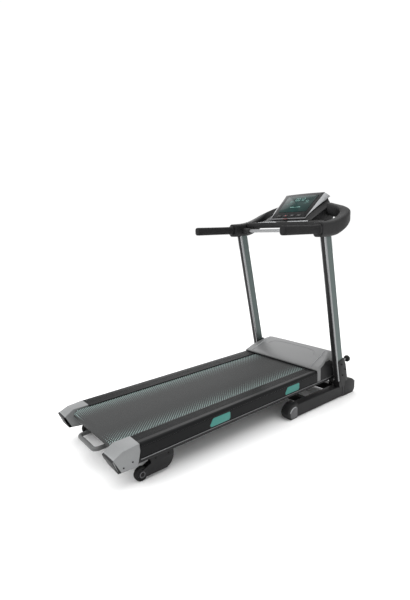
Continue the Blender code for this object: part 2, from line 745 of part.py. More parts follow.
def console_board(looks):
    """The circuit board behind the panel."""
    mesh = panel_block("console_board", 0.105, (0.26, 0.82), (-0.024, -0.0224))
    place("console_board", mesh, looks["circuit"])


def console_bezel(looks):
    """The silver strip along the panel's foot and up both its sides."""
    points = [
        (x, *panel_point(up, off))
        for x in (-0.1560, 0.1560) for up in (-0.045, -0.006) for off in (-0.0050, 0.0012)
    ]
    bezel = place("console_bezel", hull_mesh("console_bezel", points), looks["silver_plastic"])
    for side, sign in SIDES:
        join(bezel, place(f"bezel_strip_{side}", strip_mesh(sign), looks["silver_plastic"]))


def safety_key(looks):
    """The red pull-out safety key in its slot at the middle of the lip."""
    centre = panel_point(-0.095, 0.0)

    def lump(half, ups, offs):
        return [
            (x, panel_point(up, off)[0] - centre[0], panel_point(up, off)[1] - centre[1])
            for x in (-half, half) for up in ups for off in offs
        ]

    head = hull_mesh("safety_key", lump(0.0170, (-0.124, -0.066), (0.0045, 0.0140)))
    key = place("safety_key", head, looks["red_plastic"], at=(0, *centre))
    blade = hull_mesh("key_blade", lump(0.0110, (-0.112, -0.078), (-0.0200, 0.0080)))
    join(key, place("key_blade", blade, looks["red_plastic"], at=(0, *centre)))


# ---------------------------------------------------------------- deck

def side_tube(side, sign, looks, deck):
    """One side member of the deck frame, bored at the front for the fold pin."""
    x_low, x_high = sorted((sign * SIDE_TUBE_X[0], sign * SIDE_TUBE_X[1]))
    low = (x_low, SIDE_TUBE_Y[0], SIDE_TUBE_Z[0])
    high = (x_high, SIDE_TUBE_Y[1], SIDE_TUBE_Z[1])
    mesh = box_tube_mesh("side_tube", low, high, TUBE_WALL)
    tube = place(f"deck_side_{side}", mesh, looks["black_paint"], parent=deck)
    pivot = (0, PIVOT_Y, PIVOT_Z)
    cut(tube, ring_cutter(f"side_bore_{side}", PIN_RADIUS + GAP, sign * 0.284, 0.010, pivot, looks))


def deck_cross(name, y, looks, deck):
    """A tube between the side members, below the belt's return run."""
    reach = SIDE_TUBE_X[0] - GAP
    mesh = box_tube_mesh(
        name, (-reach, y - 0.015, LOW_CROSS_Z[0]), (reach, y + 0.015, LOW_CROSS_Z[1]), TUBE_WALL, along="x"
    )
    return place(name, mesh, looks["black_paint"], parent=deck)


def strut_bracket(cross, looks, deck):
    """Two ears under the front cross member, either side of the strut's eye."""
    centre_z = STRUT_DECK[1] - RAIL_TOP_Z - DECK_RISE * STRUT_DECK[0]
    for side, sign in SIDES:
        outline = arc((STRUT_DECK[0], centre_z), 0.012, 180, 360, 7)
        outline += [(STRUT_DECK[0] + reach, LOW_CROSS_Z[0] + 0.006) for reach in (0.012, -0.012)]
        ear = slab_mesh("ear", outline, *sorted((sign * 0.0085, sign * 0.0125)))
        join(cross, place(f"deck_ear_{side}", ear, looks["black_paint"], parent=deck))


def running_board(looks, deck):
    """The board under the belt."""
    top = BELT_TOP - BELT_THICK - GAP
    reach = SIDE_TUBE_X[0] - 0.0010
    low, high = (-reach, BOARD_Y[0], top - BOARD_THICK), (reach, BOARD_Y[1], top)
    mesh = block_mesh("running_board", low, high, 0.002, 1)
    place("running_board", mesh, looks["board"], parent=deck)


def foot_rail(side, sign, looks, deck):
    """The moulded foot rail: a top plate, a skirt down the outside and a lip over the belt's edge."""
    outer = DECK_HALF_WIDTH
    outline = [
        (RAIL_INNER_X, -0.0055), (RAIL_INNER_X, -0.0020), (RAIL_INNER_X + 0.004, 0.0),
        (outer - 0.012, 0.0), (outer - 0.003, -0.0035), (outer, -0.0120), (outer, -SKIRT_DEPTH),
        (outer - SKIRT_WALL, -SKIRT_DEPTH), (outer - SKIRT_WALL, -0.0083), (RAIL_INNER_X + 0.010, -0.0083),
        (RAIL_INNER_X + 0.010, -0.0055),
    ]
    mesh = run_mesh("foot_rail", [(sign * x, z) for x, z in outline], RAIL_REAR_Y + GAP, HOOD_REAR_Y - GAP)
    place(f"foot_rail_{side}", mesh, looks["black_plastic"], parent=deck)


def stadium(rear_y, front_y, centre_z, radius, steps=16):
    """A closed belt's outline round two equal rollers, as (y, z) points."""
    points = arc((front_y, centre_z), radius, 90, -90, steps)
    return points + arc((rear_y, centre_z), radius, -90, -270, steps)


def loop_mesh(name, outer, inner, x_low, x_high):
    """A closed band between two outlines of (y, z) points."""
    shape = bmesh.new()
    loops = []
    for outline, x in ((outer, x_low), (outer, x_high), (inner, x_high), (inner, x_low)):
        loops.append([shape.verts.new((x, y, z)) for y, z in outline])
    loops.append(loops[0])
    for near, far in zip(loops, loops[1:]):
        for i in range(len(near)):
            j = (i + 1) % len(near)
            shape.faces.new((near[i], near[j], far[j], far[i]))
    return to_mesh(shape, name)


def running_belt(looks, deck):
    """The endless running belt round both rollers."""
    radius = ROLLER_RADIUS + GAP
    centre_z = BELT_TOP - BELT_THICK - radius
    outer = stadium(REAR_ROLLER_Y, FRONT_ROLLER_Y, centre_z, radius + BELT_THICK)
    inner = stadium(REAR_ROLLER_Y, FRONT_ROLLER_Y, centre_z, radius)
    mesh = loop_mesh("running_belt", outer, inner, -BELT_HALF_WIDTH, BELT_HALF_WIDTH)
    place("running_belt", mesh, looks["belt"], parent=deck)


def roller_z():
    """Height of both rollers' axes in the deck frame."""
    return BELT_TOP - BELT_THICK - GAP - ROLLER_RADIUS


def rollers(looks, deck):
    """The rear roller, and the driven front roller with its ribbed pulley."""
    stub = 0.008
    profile = [
        (0, -0.268), (stub, -0.268), (stub, -ROLLER_HALF), (ROLLER_RADIUS, -ROLLER_HALF),
        (ROLLER_RADIUS, ROLLER_HALF), (stub, ROLLER_HALF), (stub, 0.268), (0, 0.268),
    ]
    place(
        "rear_roller", turned_mesh("rear_roller", profile), looks["steel"],
        at=(0, REAR_ROLLER_Y, roller_z()), parent=deck,
    )
    pulley = [
        (0, -0.268), (stub, -0.268), (stub, -ROLLER_HALF), (ROLLER_RADIUS, -ROLLER_HALF),
        (ROLLER_RADIUS, 0.2360), (0.0320, 0.2360), (0.0320, 0.2380), (0.0300, 0.2390), (0.0300, 0.2550),
        (0.0320, 0.2560), (0.0320, 0.2580), (stub, 0.2580), (stub, 0.268), (0, 0.268),
    ]
    place(
        "front_roller", turned_mesh("front_roller", pulley), looks["steel"],
        at=(0, FRONT_ROLLER_Y, roller_z()), parent=deck,
    )


def motor(looks, deck):
    """The drive motor on a bar between the side members."""
    profile = [
        (0, -0.120), (0.030, -0.120), (0.040, -0.112), (0.040, 0.088), (0.030, 0.096), (0.016, 0.096),
        (0.016, 0.104), (0.0060, 0.104), (0.0060, 0.2620), (0, 0.2620),
    ]
    at = (0, MOTOR_Y, MOTOR_Z)
    body = place("motor", turned_mesh("motor", profile, 28), looks["black_paint"], at=at, parent=deck)
    reach = SIDE_TUBE_X[0] - GAP
    bar = block_mesh("bar", (-reach, MOTOR_Y - 0.028, -0.0600), (reach, MOTOR_Y + 0.028, -0.0360), 0.002, 1)
    join(body, place("motor_bar", bar, looks["black_paint"], parent=deck))


def motor_pulley(looks, deck):
    """The small pulley on the motor's shaft."""
    profile = [
        (0.0063, 0.2345), (0.0063, 0.2600), (0.0150, 0.2600), (0.0150, 0.2575), (0.0130, 0.2560),
        (0.0130, 0.2390), (0.0150, 0.2375), (0.0150, 0.2345), (0.0063, 0.2345),
    ]
    mesh = turned_mesh("motor_pulley", profile, 24)
    place("motor_pulley", mesh, looks["steel"], at=(0, MOTOR_Y, MOTOR_Z), parent=deck)


def drive_belt(looks, deck):
    """The ribbed belt from the motor pulley to the front roller's pulley."""
    def around(grow):
        big = Vector((FRONT_ROLLER_Y, roller_z()))
        small = Vector((MOTOR_Y, MOTOR_Z))
        gap = small - big
        heading = atan(gap.y / gap.x)
        lean = (0.0304 - 0.0134) / gap.length
        turn = degrees(heading)
        spread = 90 - degrees(atan(lean))
        front = arc(small, 0.0134 + grow, turn + spread, turn - spread, 8)
        back = arc(big, 0.0304 + grow, turn - spread, turn - 360 + spread, 14)
        return front + back
    mesh = loop_mesh("drive_belt", around(0.0016), around(0.0), 0.2400, 0.2540)
    place("drive_belt", mesh, looks["rubber"], parent=deck)


def controller(looks, deck):
    """The motor controller on its plate, with cooling fins."""
    mesh = block_mesh("controller", (-0.255, 0.630, -0.0330), (-0.150, 0.740, -0.0270))
    board = place("controller", mesh, looks["circuit"], parent=deck)
    for i in range(6):
        x = -0.245 + 0.016 * i
        fin = block_mesh("fin", (x, 0.640, -0.0290), (x + 0.004, 0.730, -0.0040))
        join(board, place(f"fin_{i}", fin, looks["circuit"], parent=deck))


def end_cap(side, sign, looks, deck):
    """The faceted plastic corner over a rail's rear end."""
    inner, outer = ROLLER_HALF + 0.0010, DECK_HALF_WIDTH
    points = [
        (inner, -0.758, 0.003), (outer - 0.004, -0.758, 0.001), (outer, -0.758, -0.034),
        (outer, -0.776, -0.104), (inner, -0.790, -0.104), (outer, -0.873, -0.098),
        (outer, -0.8990, -0.0315), (inner, -0.8965, -0.046), (inner, -0.9020, -0.032),
        (inner, -0.880, -0.016), (inner, -0.845, 0.004), (outer - 0.004, -0.845, -0.006),
        (inner, -0.875, -0.092),
    ]
    mesh = hull_mesh("end_cap", [(sign * x, y, z) for x, y, z in points])
    cap = place(f"end_cap_{side}", mesh, looks["silver_plastic"], parent=deck)
    x_low, x_high = sorted((sign * (SIDE_TUBE_X[0] - 0.001), sign * (SIDE_TUBE_X[1] + 0.001)))
    low = (x_low, SIDE_TUBE_Y[0] - 0.001, SIDE_TUBE_Z[0] - 0.001)
    pocket = block_mesh("pocket", low, (x_high, -0.700, SIDE_TUBE_Z[1] + 0.001))
    cut(cap, place(f"cap_pocket_{side}", pocket, looks["silver_plastic"], parent=deck))
    x_low, x_high = sorted((sign * 0.2200, sign * SIDE_TUBE_X[0]))
    board_top = BELT_TOP - BELT_THICK - GAP
    low = (x_low, BOARD_Y[0] - 0.001, LOW_CROSS_Z[0] - 0.020)
    notch = block_mesh("notch", low, (x_high, -0.7000, board_top + GAP))
    cut(cap, place(f"cap_notch_{side}", notch, looks["silver_plastic"], parent=deck))
    axle = turned_mesh("axle", [(0, -0.030), (0.0086, -0.030), (0.0086, 0.030), (0, 0.030)], 20)
    at = (sign * 0.2400, REAR_ROLLER_Y, roller_z())
    hole = place(f"cap_bore_{side}", axle, looks["silver_plastic"], at=at, parent=deck)
    cut(cap, hole)


def rear_handle(looks, deck):
    """The round-bar loop for lifting the deck's rear end."""
    height = (LOW_CROSS_Z[0] + LOW_CROSS_Z[1]) / 2
    half, rear, bend = 0.094, -0.8786, 0.024
    front = -0.7713
    points = [(-half, front, height)]
    for y, x in arc((rear + bend, -half + bend), bend, -90, -180, 5):
        points.append((x, y, height))
    for y, x in arc((rear + bend, half - bend), bend, 180, 90, 5):
        points.append((x, y, height))
    points.append((half, front, height))
    bent_tube("rear_handle", points, 0.011, looks["grey_paint"], parent=deck)


def wheel_bracket(side, sign, looks):
    """The D-shaped steel fork that carries a support wheel under the deck's rear end."""
    top = RAIL_TOP_Z + DECK_RISE * -0.640 + SIDE_TUBE_Z[0] - GAP - 0.0012
    outline = [(-0.572, top), (-0.572, 0.080)]
    outline += arc((-0.640, 0.080), 0.068, 0, -66, 6)
    outline += arc((WHEEL_Y, WHEEL_RADIUS), 0.019, -80, -250, 8)
    outline += [(-0.699, 0.072), (-0.699, top)]
    half = WHEEL_HALF + 0.0045
    centre = sign * WHEEL_X
    mesh = slab_mesh("wheel_bracket", outline, centre - half, centre + half)
    fork = place(f"wheel_bracket_{side}", mesh, looks["black_paint"])
    room, deep = 0.0385, WHEEL_HALF + 0.001
    slot = turned_mesh("slot", [(0, -deep), (room, -deep), (room, deep), (0, deep)], 32)
    cut(fork, place(f"wheel_slot_{side}", slot, looks["black_paint"], at=(centre, WHEEL_Y, WHEEL_RADIUS)))
    bore = ring_cutter(f"wheel_bore_{side}", 0.0053, centre, 0.080, (0, WHEEL_Y, WHEEL_RADIUS), looks)
    cut(fork, bore)


def support_wheel(side, sign, looks):
    """A rubber-tyred wheel with its own axle."""
    profile = [
        (0, -0.0158), (0.0050, -0.0158), (0.0050, -WHEEL_HALF), (0.022, -WHEEL_HALF), (0.0310, -WHEEL_HALF),
        (WHEEL_RADIUS, -WHEEL_HALF + 0.004), (WHEEL_RADIUS, WHEEL_HALF - 0.004), (0.0310, WHEEL_HALF),
        (0.022, WHEEL_HALF), (0.0050, WHEEL_HALF), (0.0050, 0.0158), (0, 0.0158),
    ]
    mesh = turned_mesh("support_wheel", profile, 28)
    place(f"support_wheel_{side}", mesh, looks["rubber"], at=(sign * WHEEL_X, WHEEL_Y, WHEEL_RADIUS))


def hood_skin(name, inset, low):
    """The hood's outer or inner skin: sections with a sloped roof edge, from rear lip to front wall."""
    rings = []
    for i, (y, roof_half, roof, foot_half) in enumerate(HOOD_STATIONS):
        if i == 0:
            y += inset
        if i == len(HOOD_STATIONS) - 1:
            y -= inset
        eave = roof - inset - 0.006
        half = [
            (foot_half - inset, low), (foot_half - inset, HOOD_KNEE_Z),
            (roof_half - inset, eave), (roof_half - inset - 0.012, roof - inset),
            (roof_half * 0.5, roof - inset + 0.001),
        ]
        rings.append([(x, y, z) for x, z in half] + [(-x, y, z) for x, z in reversed(half)])
    return loft_mesh(name, rings)


def hood(looks, deck):
    """The motor hood: a shell open underneath, cut out for the inlet, the switch and the lugs as it folds."""
    shell = place("motor_hood", hood_skin("motor_hood", 0.0, -0.070), looks["silver_plastic"], parent=deck)
    reach = DECK_HALF_WIDTH - HOOD_WALL - 0.0006
    cutters = (
        ("hood_inside", hood_skin("hood_inside", HOOD_WALL, -0.100)),
        ("hood_mouth", block_mesh("mouth", (-reach, 0.400, -0.200), (reach, 0.560, 0.0030))),
        ("inlet_hole", fitting_block("hole", INLET_X, 0.0143, 0.0113, -0.020, 0.020)),
        ("switch_hole", fitting_block("hole", SWITCH_X, 0.0110, 0.0140, -0.020, 0.020)),
    )
    for name, mesh in cutters:
        cut(shell, place(name, mesh, looks["silver_plastic"], parent=deck))
    for side, sign in SIDES:
        x_low, x_high = sorted((sign * (LUG_X[0] - 0.005), sign * (LUG_X[1] + 0.005)))
        low, high = (x_low, HOOD_FRONT_Y - 0.018, -0.1000), (x_high, HOOD_FRONT_Y + 0.020, LUG_NOTCH_Z)
        notch = block_mesh("notch", low, high)
        cut(shell, place(f"lug_notch_{side}", notch, looks["silver_plastic"], parent=deck))


def fitting_block(name, x, half_x, half_z, rear, front):
    """A block through the hood's front wall, from one depth to another."""
    low = (x - half_x, HOOD_FRONT_Y + rear, FITTING_Z - half_z)
    high = (x + half_x, HOOD_FRONT_Y + front, FITTING_Z + half_z)
    return block_mesh(name, low, high)


def power_inlet(looks, deck):
    """The mains inlet: a flanged socket, open to the front."""
    mesh = fitting_block("power_inlet", INLET_X, 0.0140, 0.0110, -0.026, 0.0015)
    inlet = place("power_inlet", mesh, looks["black_plastic"], parent=deck)
    flange = fitting_block("flange", INLET_X, 0.0190, 0.0150, 0.0005, 0.0025)
    join(inlet, place("inlet_flange", flange, looks["black_plastic"], parent=deck))
    well = fitting_block("well", INLET_X, 0.0120, 0.0085, -0.020, 0.020)
    cut(inlet, place("inlet_well", well, looks["black_plastic"], parent=deck))


def power_switch(looks, deck):
    """The rocker switch beside the inlet, turning about its middle."""
    outline = [(-0.0080, -0.0090), (-0.0080, 0.0090), (0.0015, 0.0118), (0.0020, 0.0), (0.0055, -0.0110)]
    mesh = slab_mesh("power_switch", outline, -0.0095, 0.0095)
    place("power_switch", mesh, looks["red_plastic"], at=(SWITCH_X, HOOD_FRONT_Y, FITTING_Z), parent=deck)


# ---------------------------------------------------------------- gas strut

def strut_turn():
    """The matrix that lays a piece made along X onto the strut's line."""
    line = Vector((0, STRUT_DECK[0] - STRUT_BASE[0], STRUT_DECK[1] - STRUT_BASE[1]))
    across = Vector((1, 0, 0))
    line.normalize()
    third = line.cross(across)
    return Matrix((line, across, third)).transposed().to_4x4()


def strut(looks):
    """The gas strut: a barrel pinned to the base and the rod that slides out of it."""
    length = (Vector(STRUT_DECK) - Vector(STRUT_BASE)).length
    at = (0, *STRUT_BASE)
    eye = [(0, -0.0078), (0.0085, -0.0078), (0.0085, 0.0078), (0, 0.0078)]
    pin = [(0, -0.0118), (0.0040, -0.0118), (0.0040, 0.0118), (0, 0.0118)]
    tube = [(0, 0.004), (0.0065, 0.004), (0.0065, 0.016), (STRUT_RADIUS, 0.020), (STRUT_RADIUS, 0.236),
            (0.0095, 0.240), (0.0054, 0.240), (0.0054, 0.090), (0, 0.090)]
    mesh = turned_mesh("strut_barrel", tube, 20)
    mesh.transform(strut_turn())
    barrel = place("strut_barrel", mesh, looks["black_paint"], at=at)
    join(barrel, place("barrel_eye", turned_mesh("eye", eye, 20), looks["black_paint"], at=at))
    join(barrel, place("barrel_pin", turned_mesh("pin", pin, 16), looks["steel"], at=at))
    bar = [(0, 0.098), (STRUT_ROD_RADIUS, 0.098), (STRUT_ROD_RADIUS, length - 0.004), (0, length - 0.004)]
    mesh = turned_mesh("strut_rod", bar, 16)
    mesh.transform(strut_turn())
    rod = place("strut_rod", mesh, looks["steel"], at=at)
    end = turned_mesh("eye", eye, 20)
    end.transform(Matrix.Translation((0, STRUT_DECK[0] - STRUT_BASE[0], STRUT_DECK[1] - STRUT_BASE[1])))
    join(rod, place("rod_eye", end, looks["steel"], at=at))


def main():
    """Build every piece."""
    clear_scene()
    looks = finishes()
    deck = empty("deck_datum", (0, 0, RAIL_TOP_Z), atan(DECK_RISE))
    for side, sign in SIDES:
        base_rail(side, sign, looks)
        base_nose(side, sign, looks)
        base_cap(side, sign, looks)
        pivot_pin(side, sign, looks)
        upright(side, sign, looks)
        socket(side, sign, looks)
        handlebar(side, sign, looks)
        grip(side, sign, looks)
        shoulder(side, sign, looks)
        side_tube(side, sign, looks, deck)
        foot_rail(side, sign, looks, deck)
        end_cap(side, sign, looks, deck)
        wheel_bracket(side, sign, looks)
        support_wheel(side, sign, looks)
    base_cross_rear(looks)
    base_front_frame(looks)
    strut(looks)
    lock_plunger(looks)
    crossbar(looks)
    console_body(looks)
    console_panel(looks)
    keys(looks)
    display(looks)
    console_board(looks)
    console_bezel(looks)
    safety_key(looks)
    deck_cross("deck_cross_rear", -0.755, looks, deck)
    strut_bracket(deck_cross("deck_cross_front", 0.315, looks, deck), looks, deck)
    running_board(looks, deck)
    running_belt(looks, deck)
    rollers(looks, deck)
    motor(looks, deck)
    motor_pulley(looks, deck)
    drive_belt(looks, deck)
    controller(looks, deck)
    rear_handle(looks, deck)
    hood(looks, deck)
    power_inlet(looks, deck)
    power_switch(looks, deck)


main()
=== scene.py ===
"""Looks of a folding treadmill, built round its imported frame.

Frame: +Y is the way the runner faces, +X the runner's right, +Z up, metres. Each sub-assembly is a class that
builds its meshes from bmesh operators, dresses them and lets them ride on the frame's bodies.
"""

import json
import logging
from dataclasses import dataclass
from enum import Enum
from math import atan, cos, pi, radians, sin
from typing import Any, Iterable, Optional, Sequence

import bmesh
import bpy
from mathutils import Matrix, Vector

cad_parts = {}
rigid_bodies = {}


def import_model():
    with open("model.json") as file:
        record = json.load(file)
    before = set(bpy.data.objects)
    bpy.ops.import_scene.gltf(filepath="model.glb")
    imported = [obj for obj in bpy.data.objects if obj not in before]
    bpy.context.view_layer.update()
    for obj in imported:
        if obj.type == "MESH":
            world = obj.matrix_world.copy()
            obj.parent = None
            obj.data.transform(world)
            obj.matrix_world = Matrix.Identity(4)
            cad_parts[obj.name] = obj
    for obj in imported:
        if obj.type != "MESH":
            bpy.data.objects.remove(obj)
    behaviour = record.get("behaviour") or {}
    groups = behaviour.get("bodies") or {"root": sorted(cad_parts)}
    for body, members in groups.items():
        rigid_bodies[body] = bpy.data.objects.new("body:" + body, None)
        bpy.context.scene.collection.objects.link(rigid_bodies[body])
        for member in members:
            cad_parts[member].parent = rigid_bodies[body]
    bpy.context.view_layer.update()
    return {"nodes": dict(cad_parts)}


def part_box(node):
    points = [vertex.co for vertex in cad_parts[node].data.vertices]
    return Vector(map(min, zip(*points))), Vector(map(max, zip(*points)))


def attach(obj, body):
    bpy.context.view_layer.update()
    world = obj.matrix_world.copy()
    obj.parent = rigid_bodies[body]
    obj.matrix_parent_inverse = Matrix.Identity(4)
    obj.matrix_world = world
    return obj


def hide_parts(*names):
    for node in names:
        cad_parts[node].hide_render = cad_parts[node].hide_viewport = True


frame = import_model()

LOG = logging.getLogger("treadmill")

Pair = tuple[float, float]
Point = tuple[float, float, float]
Colour = tuple[float, float, float]

# Sizes that several pieces share, in metres; GAP is the play left between neighbours.
GAP = 0.0003
RAIL_TOP_Z = 0.2081
DECK_RISE = 0.018
DECK_SLOPE = atan(DECK_RISE)
DECK = Matrix.Translation((0.0, 0.0, RAIL_TOP_Z)) @ Matrix.Rotation(DECK_SLOPE, 4, "X")
DECK_HALF = 0.325
RAIL_INNER = 0.2255
RAIL_REAR = -0.758
HOOD_REAR = 0.534
HOOD_FRONT = 0.808
SKIRT_DEPTH = 0.072
BELT_HALF = 0.229
UPRIGHT_LEAN = atan(0.1997)
UPRIGHT_X = 0.3566
UPRIGHT_FOOT: Pair = (0.7275, 0.129)
PANEL_FOOT = Vector((0.0, 0.613, 1.188))
PANEL_HEAD = Vector((0.0, 0.798, 1.353))
PANEL_LENGTH = (PANEL_HEAD - PANEL_FOOT).length


class Side(Enum):
    """A side of the machine, as the runner sees it, and the sign of its x."""

    LEFT = -1
    RIGHT = 1

    @property
    def label(self) -> str:
        """The side's name in a piece's name."""
        return self.name.lower()


class Axis(Enum):
    """A direction along which an outline is pulled or a profile is spun."""

    X = (1.0, 0.0, 0.0)
    Y = (0.0, 1.0, 0.0)
    Z = (0.0, 0.0, 1.0)

    def point(self, along: float, pair: Pair) -> Point:
        """A point at a distance along the axis, from an outline's two other coordinates in X, Y, Z order."""
        first, second = pair
        if self is Axis.X:
            return (along, first, second)
        if self is Axis.Y:
            return (first, along, second)
        return (first, second, along)

    def turn(self) -> Matrix:
        """The turn that carries the X axis onto this one."""
        if self is Axis.X:
            return Matrix.Identity(4)
        if self is Axis.Y:
            return Matrix.Rotation(pi / 2, 4, "Z")
        return Matrix.Rotation(-pi / 2, 4, "Y")


# ------------------------------------------------------------------------------------------- shader maths


class Sock:
    """A shader value that takes part in Python expressions and adds Math nodes as it goes."""

    def __init__(self, graph: "Graph", socket: bpy.types.NodeSocket) -> None:
        """Wrap an output socket."""
        self.graph = graph
        self.socket = socket

    def _math(self, operation: str, *values: Any, clamp: bool = False) -> "Sock":
        """Add one Math node."""
        node = self.graph.node("ShaderNodeMath", {"operation": operation, "use_clamp": clamp},
                               dict(enumerate(values)))
        return Sock(self.graph, node.outputs[0])

    def __add__(self, other: Any) -> "Sock":
        """Sum."""
        return self._math("ADD", self, other)

    __radd__ = __add__

    def __sub__(self, other: Any) -> "Sock":
        """Difference."""
        return self._math("SUBTRACT", self, other)

    def __rsub__(self, other: Any) -> "Sock":
        """Difference, the other way round."""
        return self._math("SUBTRACT", other, self)

    def __mul__(self, other: Any) -> "Sock":
        """Product."""
        return self._math("MULTIPLY", self, other)

    __rmul__ = __mul__

    def __truediv__(self, other: Any) -> "Sock":
        """Quotient."""
        return self._math("DIVIDE", self, other)

    def __gt__(self, other: Any) -> "Sock":
        """1 where this value is the larger."""
        return self._math("GREATER_THAN", self, other)

    def __lt__(self, other: Any) -> "Sock":
        """1 where this value is the smaller."""
        return self._math("LESS_THAN", self, other)

    def __abs__(self) -> "Sock":
        """Size without its sign."""
        return self._math("ABSOLUTE", self)

    def fract(self) -> "Sock":
        """What is left over a whole number."""
        return self._math("FRACT", self)

    def sine(self) -> "Sock":
        """Sine, in radians."""
        return self._math("SINE", self)

    def clamp(self) -> "Sock":
        """Held between 0 and 1."""
        return self._math("ADD", self, 0.0, clamp=True)

    def root(self) -> "Sock":
        """Square root."""
        return self._math("SQRT", self)


class Graph:
    """One material's node tree."""

    def __init__(self, name: str) -> None:
        """Make a material that holds only its shader and its output."""
        self.material = bpy.data.materials.new(name)
        self.material.use_nodes = True
        self.tree = self.material.node_tree
        self.shader = self.tree.nodes["Principled BSDF"]
        self._place = None

    @classmethod
    def over(cls, tree: bpy.types.NodeTree) -> "Graph":
        """The same tools over a tree that is there already."""
        made = cls.__new__(cls)
        made.tree = tree
        made._place = None
        return made

    def node(self, kind: str, settings: dict[str, Any], values: dict[Any, Any]) -> bpy.types.Node:
        """Add a node: its settings first, then its sockets' values or links.

        Args:
            kind: The node's type.
            settings: The node's own properties.
            values: For each input socket, by name or number, a number, a colour, a Sock or a socket.

        Returns:
            The new node.
        """
        made = self.tree.nodes.new(kind)
        for key, value in settings.items():
            setattr(made, key, value)
        for key, value in values.items():
            self.feed(made.inputs[key], value)
        return made

    def feed(self, target: bpy.types.NodeSocket, value: Any) -> None:
        """Link a Sock or a socket to an input, or set it to a plain value."""
        if isinstance(value, Sock):
            self.tree.links.new(value.socket, target)
        elif isinstance(value, bpy.types.NodeSocket):
            self.tree.links.new(value, target)
        elif isinstance(value, tuple) and target.type == "RGBA" and len(value) == 3:
            target.default_value = (*value, 1.0)
        else:
            target.default_value = value

    def place(self) -> bpy.types.NodeSocket:
        """Object coordinates, which are the frame's metres."""
        if self._place is None:
            self._place = self.node("ShaderNodeTexCoord", {}, {}).outputs["Object"]
        return self._place

    def xyz(self) -> tuple[Sock, Sock, Sock]:
        """The three object coordinates."""
        split = self.node("ShaderNodeSeparateXYZ", {}, {0: self.place()})
        return Sock(self, split.outputs[0]), Sock(self, split.outputs[1]), Sock(self, split.outputs[2])

    def noise(self, scale: float, detail: float = 3.0, rough: float = 0.55,
              stretch: Point = (1, 1, 1)) -> Sock:
        """Cloudy noise from 0 to 1, with a number of cells to the metre; stretch scales each axis."""
        mapped = self.node("ShaderNodeMapping", {}, {"Vector": self.place(), "Scale": stretch})
        made = self.node(
            "ShaderNodeTexNoise", {},
            {"Vector": mapped.outputs[0], "Scale": scale, "Detail": detail, "Roughness": rough},
        )
        return Sock(self, made.outputs["Fac"])

    def cells(self, scale: float) -> Sock:
        """Distance to the nearest of many scattered points, for grains and pores."""
        made = self.node("ShaderNodeTexVoronoi", {"feature": "F1"}, {"Vector": self.place(), "Scale": scale})
        return Sock(self, made.outputs["Distance"])

    def mix(self, share: Any, first: Any, second: Any) -> bpy.types.NodeSocket:
        """A colour between two others."""
        made = self.node("ShaderNodeMix", {"data_type": "RGBA"}, {0: share, 6: first, 7: second})
        return made.outputs[2]

    def tones(self, colour: Colour, spread: float, share: Sock) -> bpy.types.NodeSocket:
        """A colour that goes from a little darker to a little lighter."""
        dark: Colour = tuple(c * (1 - spread) for c in colour)
        light: Colour = tuple(min(1.0, c * (1 + spread)) for c in colour)
        return self.mix(share.clamp(), dark, light)

    def bump(self, height: Sock, depth: float,
             under: Optional[bpy.types.NodeSocket] = None) -> bpy.types.NodeSocket:
        """A surface raised by a height from 0 to 1, its depth in metres, over another bump if given."""
        values: dict[str, Any] = {"Height": height, "Distance": depth, "Strength": 1.0}
        if under is not None:
            values["Normal"] = under
        return self.node("ShaderNodeBump", {}, values).outputs[0]

    def dress(self, **values: Any) -> bpy.types.Material:
        """Set the shader's sockets, an underscore standing for a space, and hand the material back."""
        for key, value in values.items():
            self.feed(self.shader.inputs[key.replace("_", " ").title().replace("Ior", "IOR")], value)
        return self.material


# ---------------------------------------------------------------------------------------------- finishes


@dataclass(frozen=True)
class PowderCoat:
    """Satin powder coat on steel: orange peel, uneven sheen and a few rubbed patches."""

    name: str
    colour: Colour
    roughness: float = 0.42
    peel_depth: float = 0.00006
    specular: float = 0.22

    def build(self) -> bpy.types.Material:
        """Make the material."""
        graph = Graph(self.name)
        peel = graph.noise(520.0, 2.0)
        rubbed = graph.noise(11.0, 6.0, 0.65)
        return graph.dress(
            base_color=graph.tones(self.colour, 0.22, rubbed * 1.6 - 0.3),
            roughness=self.roughness - 0.10 + rubbed * 0.20,
            specular_ior_level=self.specular,
            normal=graph.bump(peel, self.peel_depth),
        )


@dataclass(frozen=True)
class GrainPlastic:
    """Moulded plastic with a fine spark-eroded grain and a soft, slightly dusty sheen."""

    name: str
    colour: Colour
    roughness: float = 0.5
    grain: float = 900.0
    grain_depth: float = 0.00008
    specular: float = 0.22

    def build(self) -> bpy.types.Material:
        """Make the material."""
        graph = Graph(self.name)
        pits = graph.cells(self.grain)
        dust = graph.noise(16.0, 5.0, 0.6)
        return graph.dress(
            base_color=graph.tones(self.colour, 0.18, dust),
            roughness=self.roughness - 0.08 + dust * 0.16,
            specular_ior_level=self.specular,
            normal=graph.bump(pits, self.grain_depth),
        )


@dataclass(frozen=True)
class SilverPaint:
    """Silver-grey lacquer on plastic, with fine metal flakes under it."""

    name: str
    colour: Colour
    roughness: float = 0.40
    metallic: float = 0.35

    def build(self) -> bpy.types.Material:
        """Make the material."""
        graph = Graph(self.name)
        flakes = graph.cells(1400.0)
        haze = graph.noise(7.0, 5.0, 0.6)
        return graph.dress(
            base_color=graph.tones(self.colour, 0.12, flakes * 0.8 + haze * 0.5 - 0.1),
            roughness=self.roughness - 0.06 + haze * 0.12,
            metallic=self.metallic,
            normal=graph.bump(flakes, 0.00003),
        )


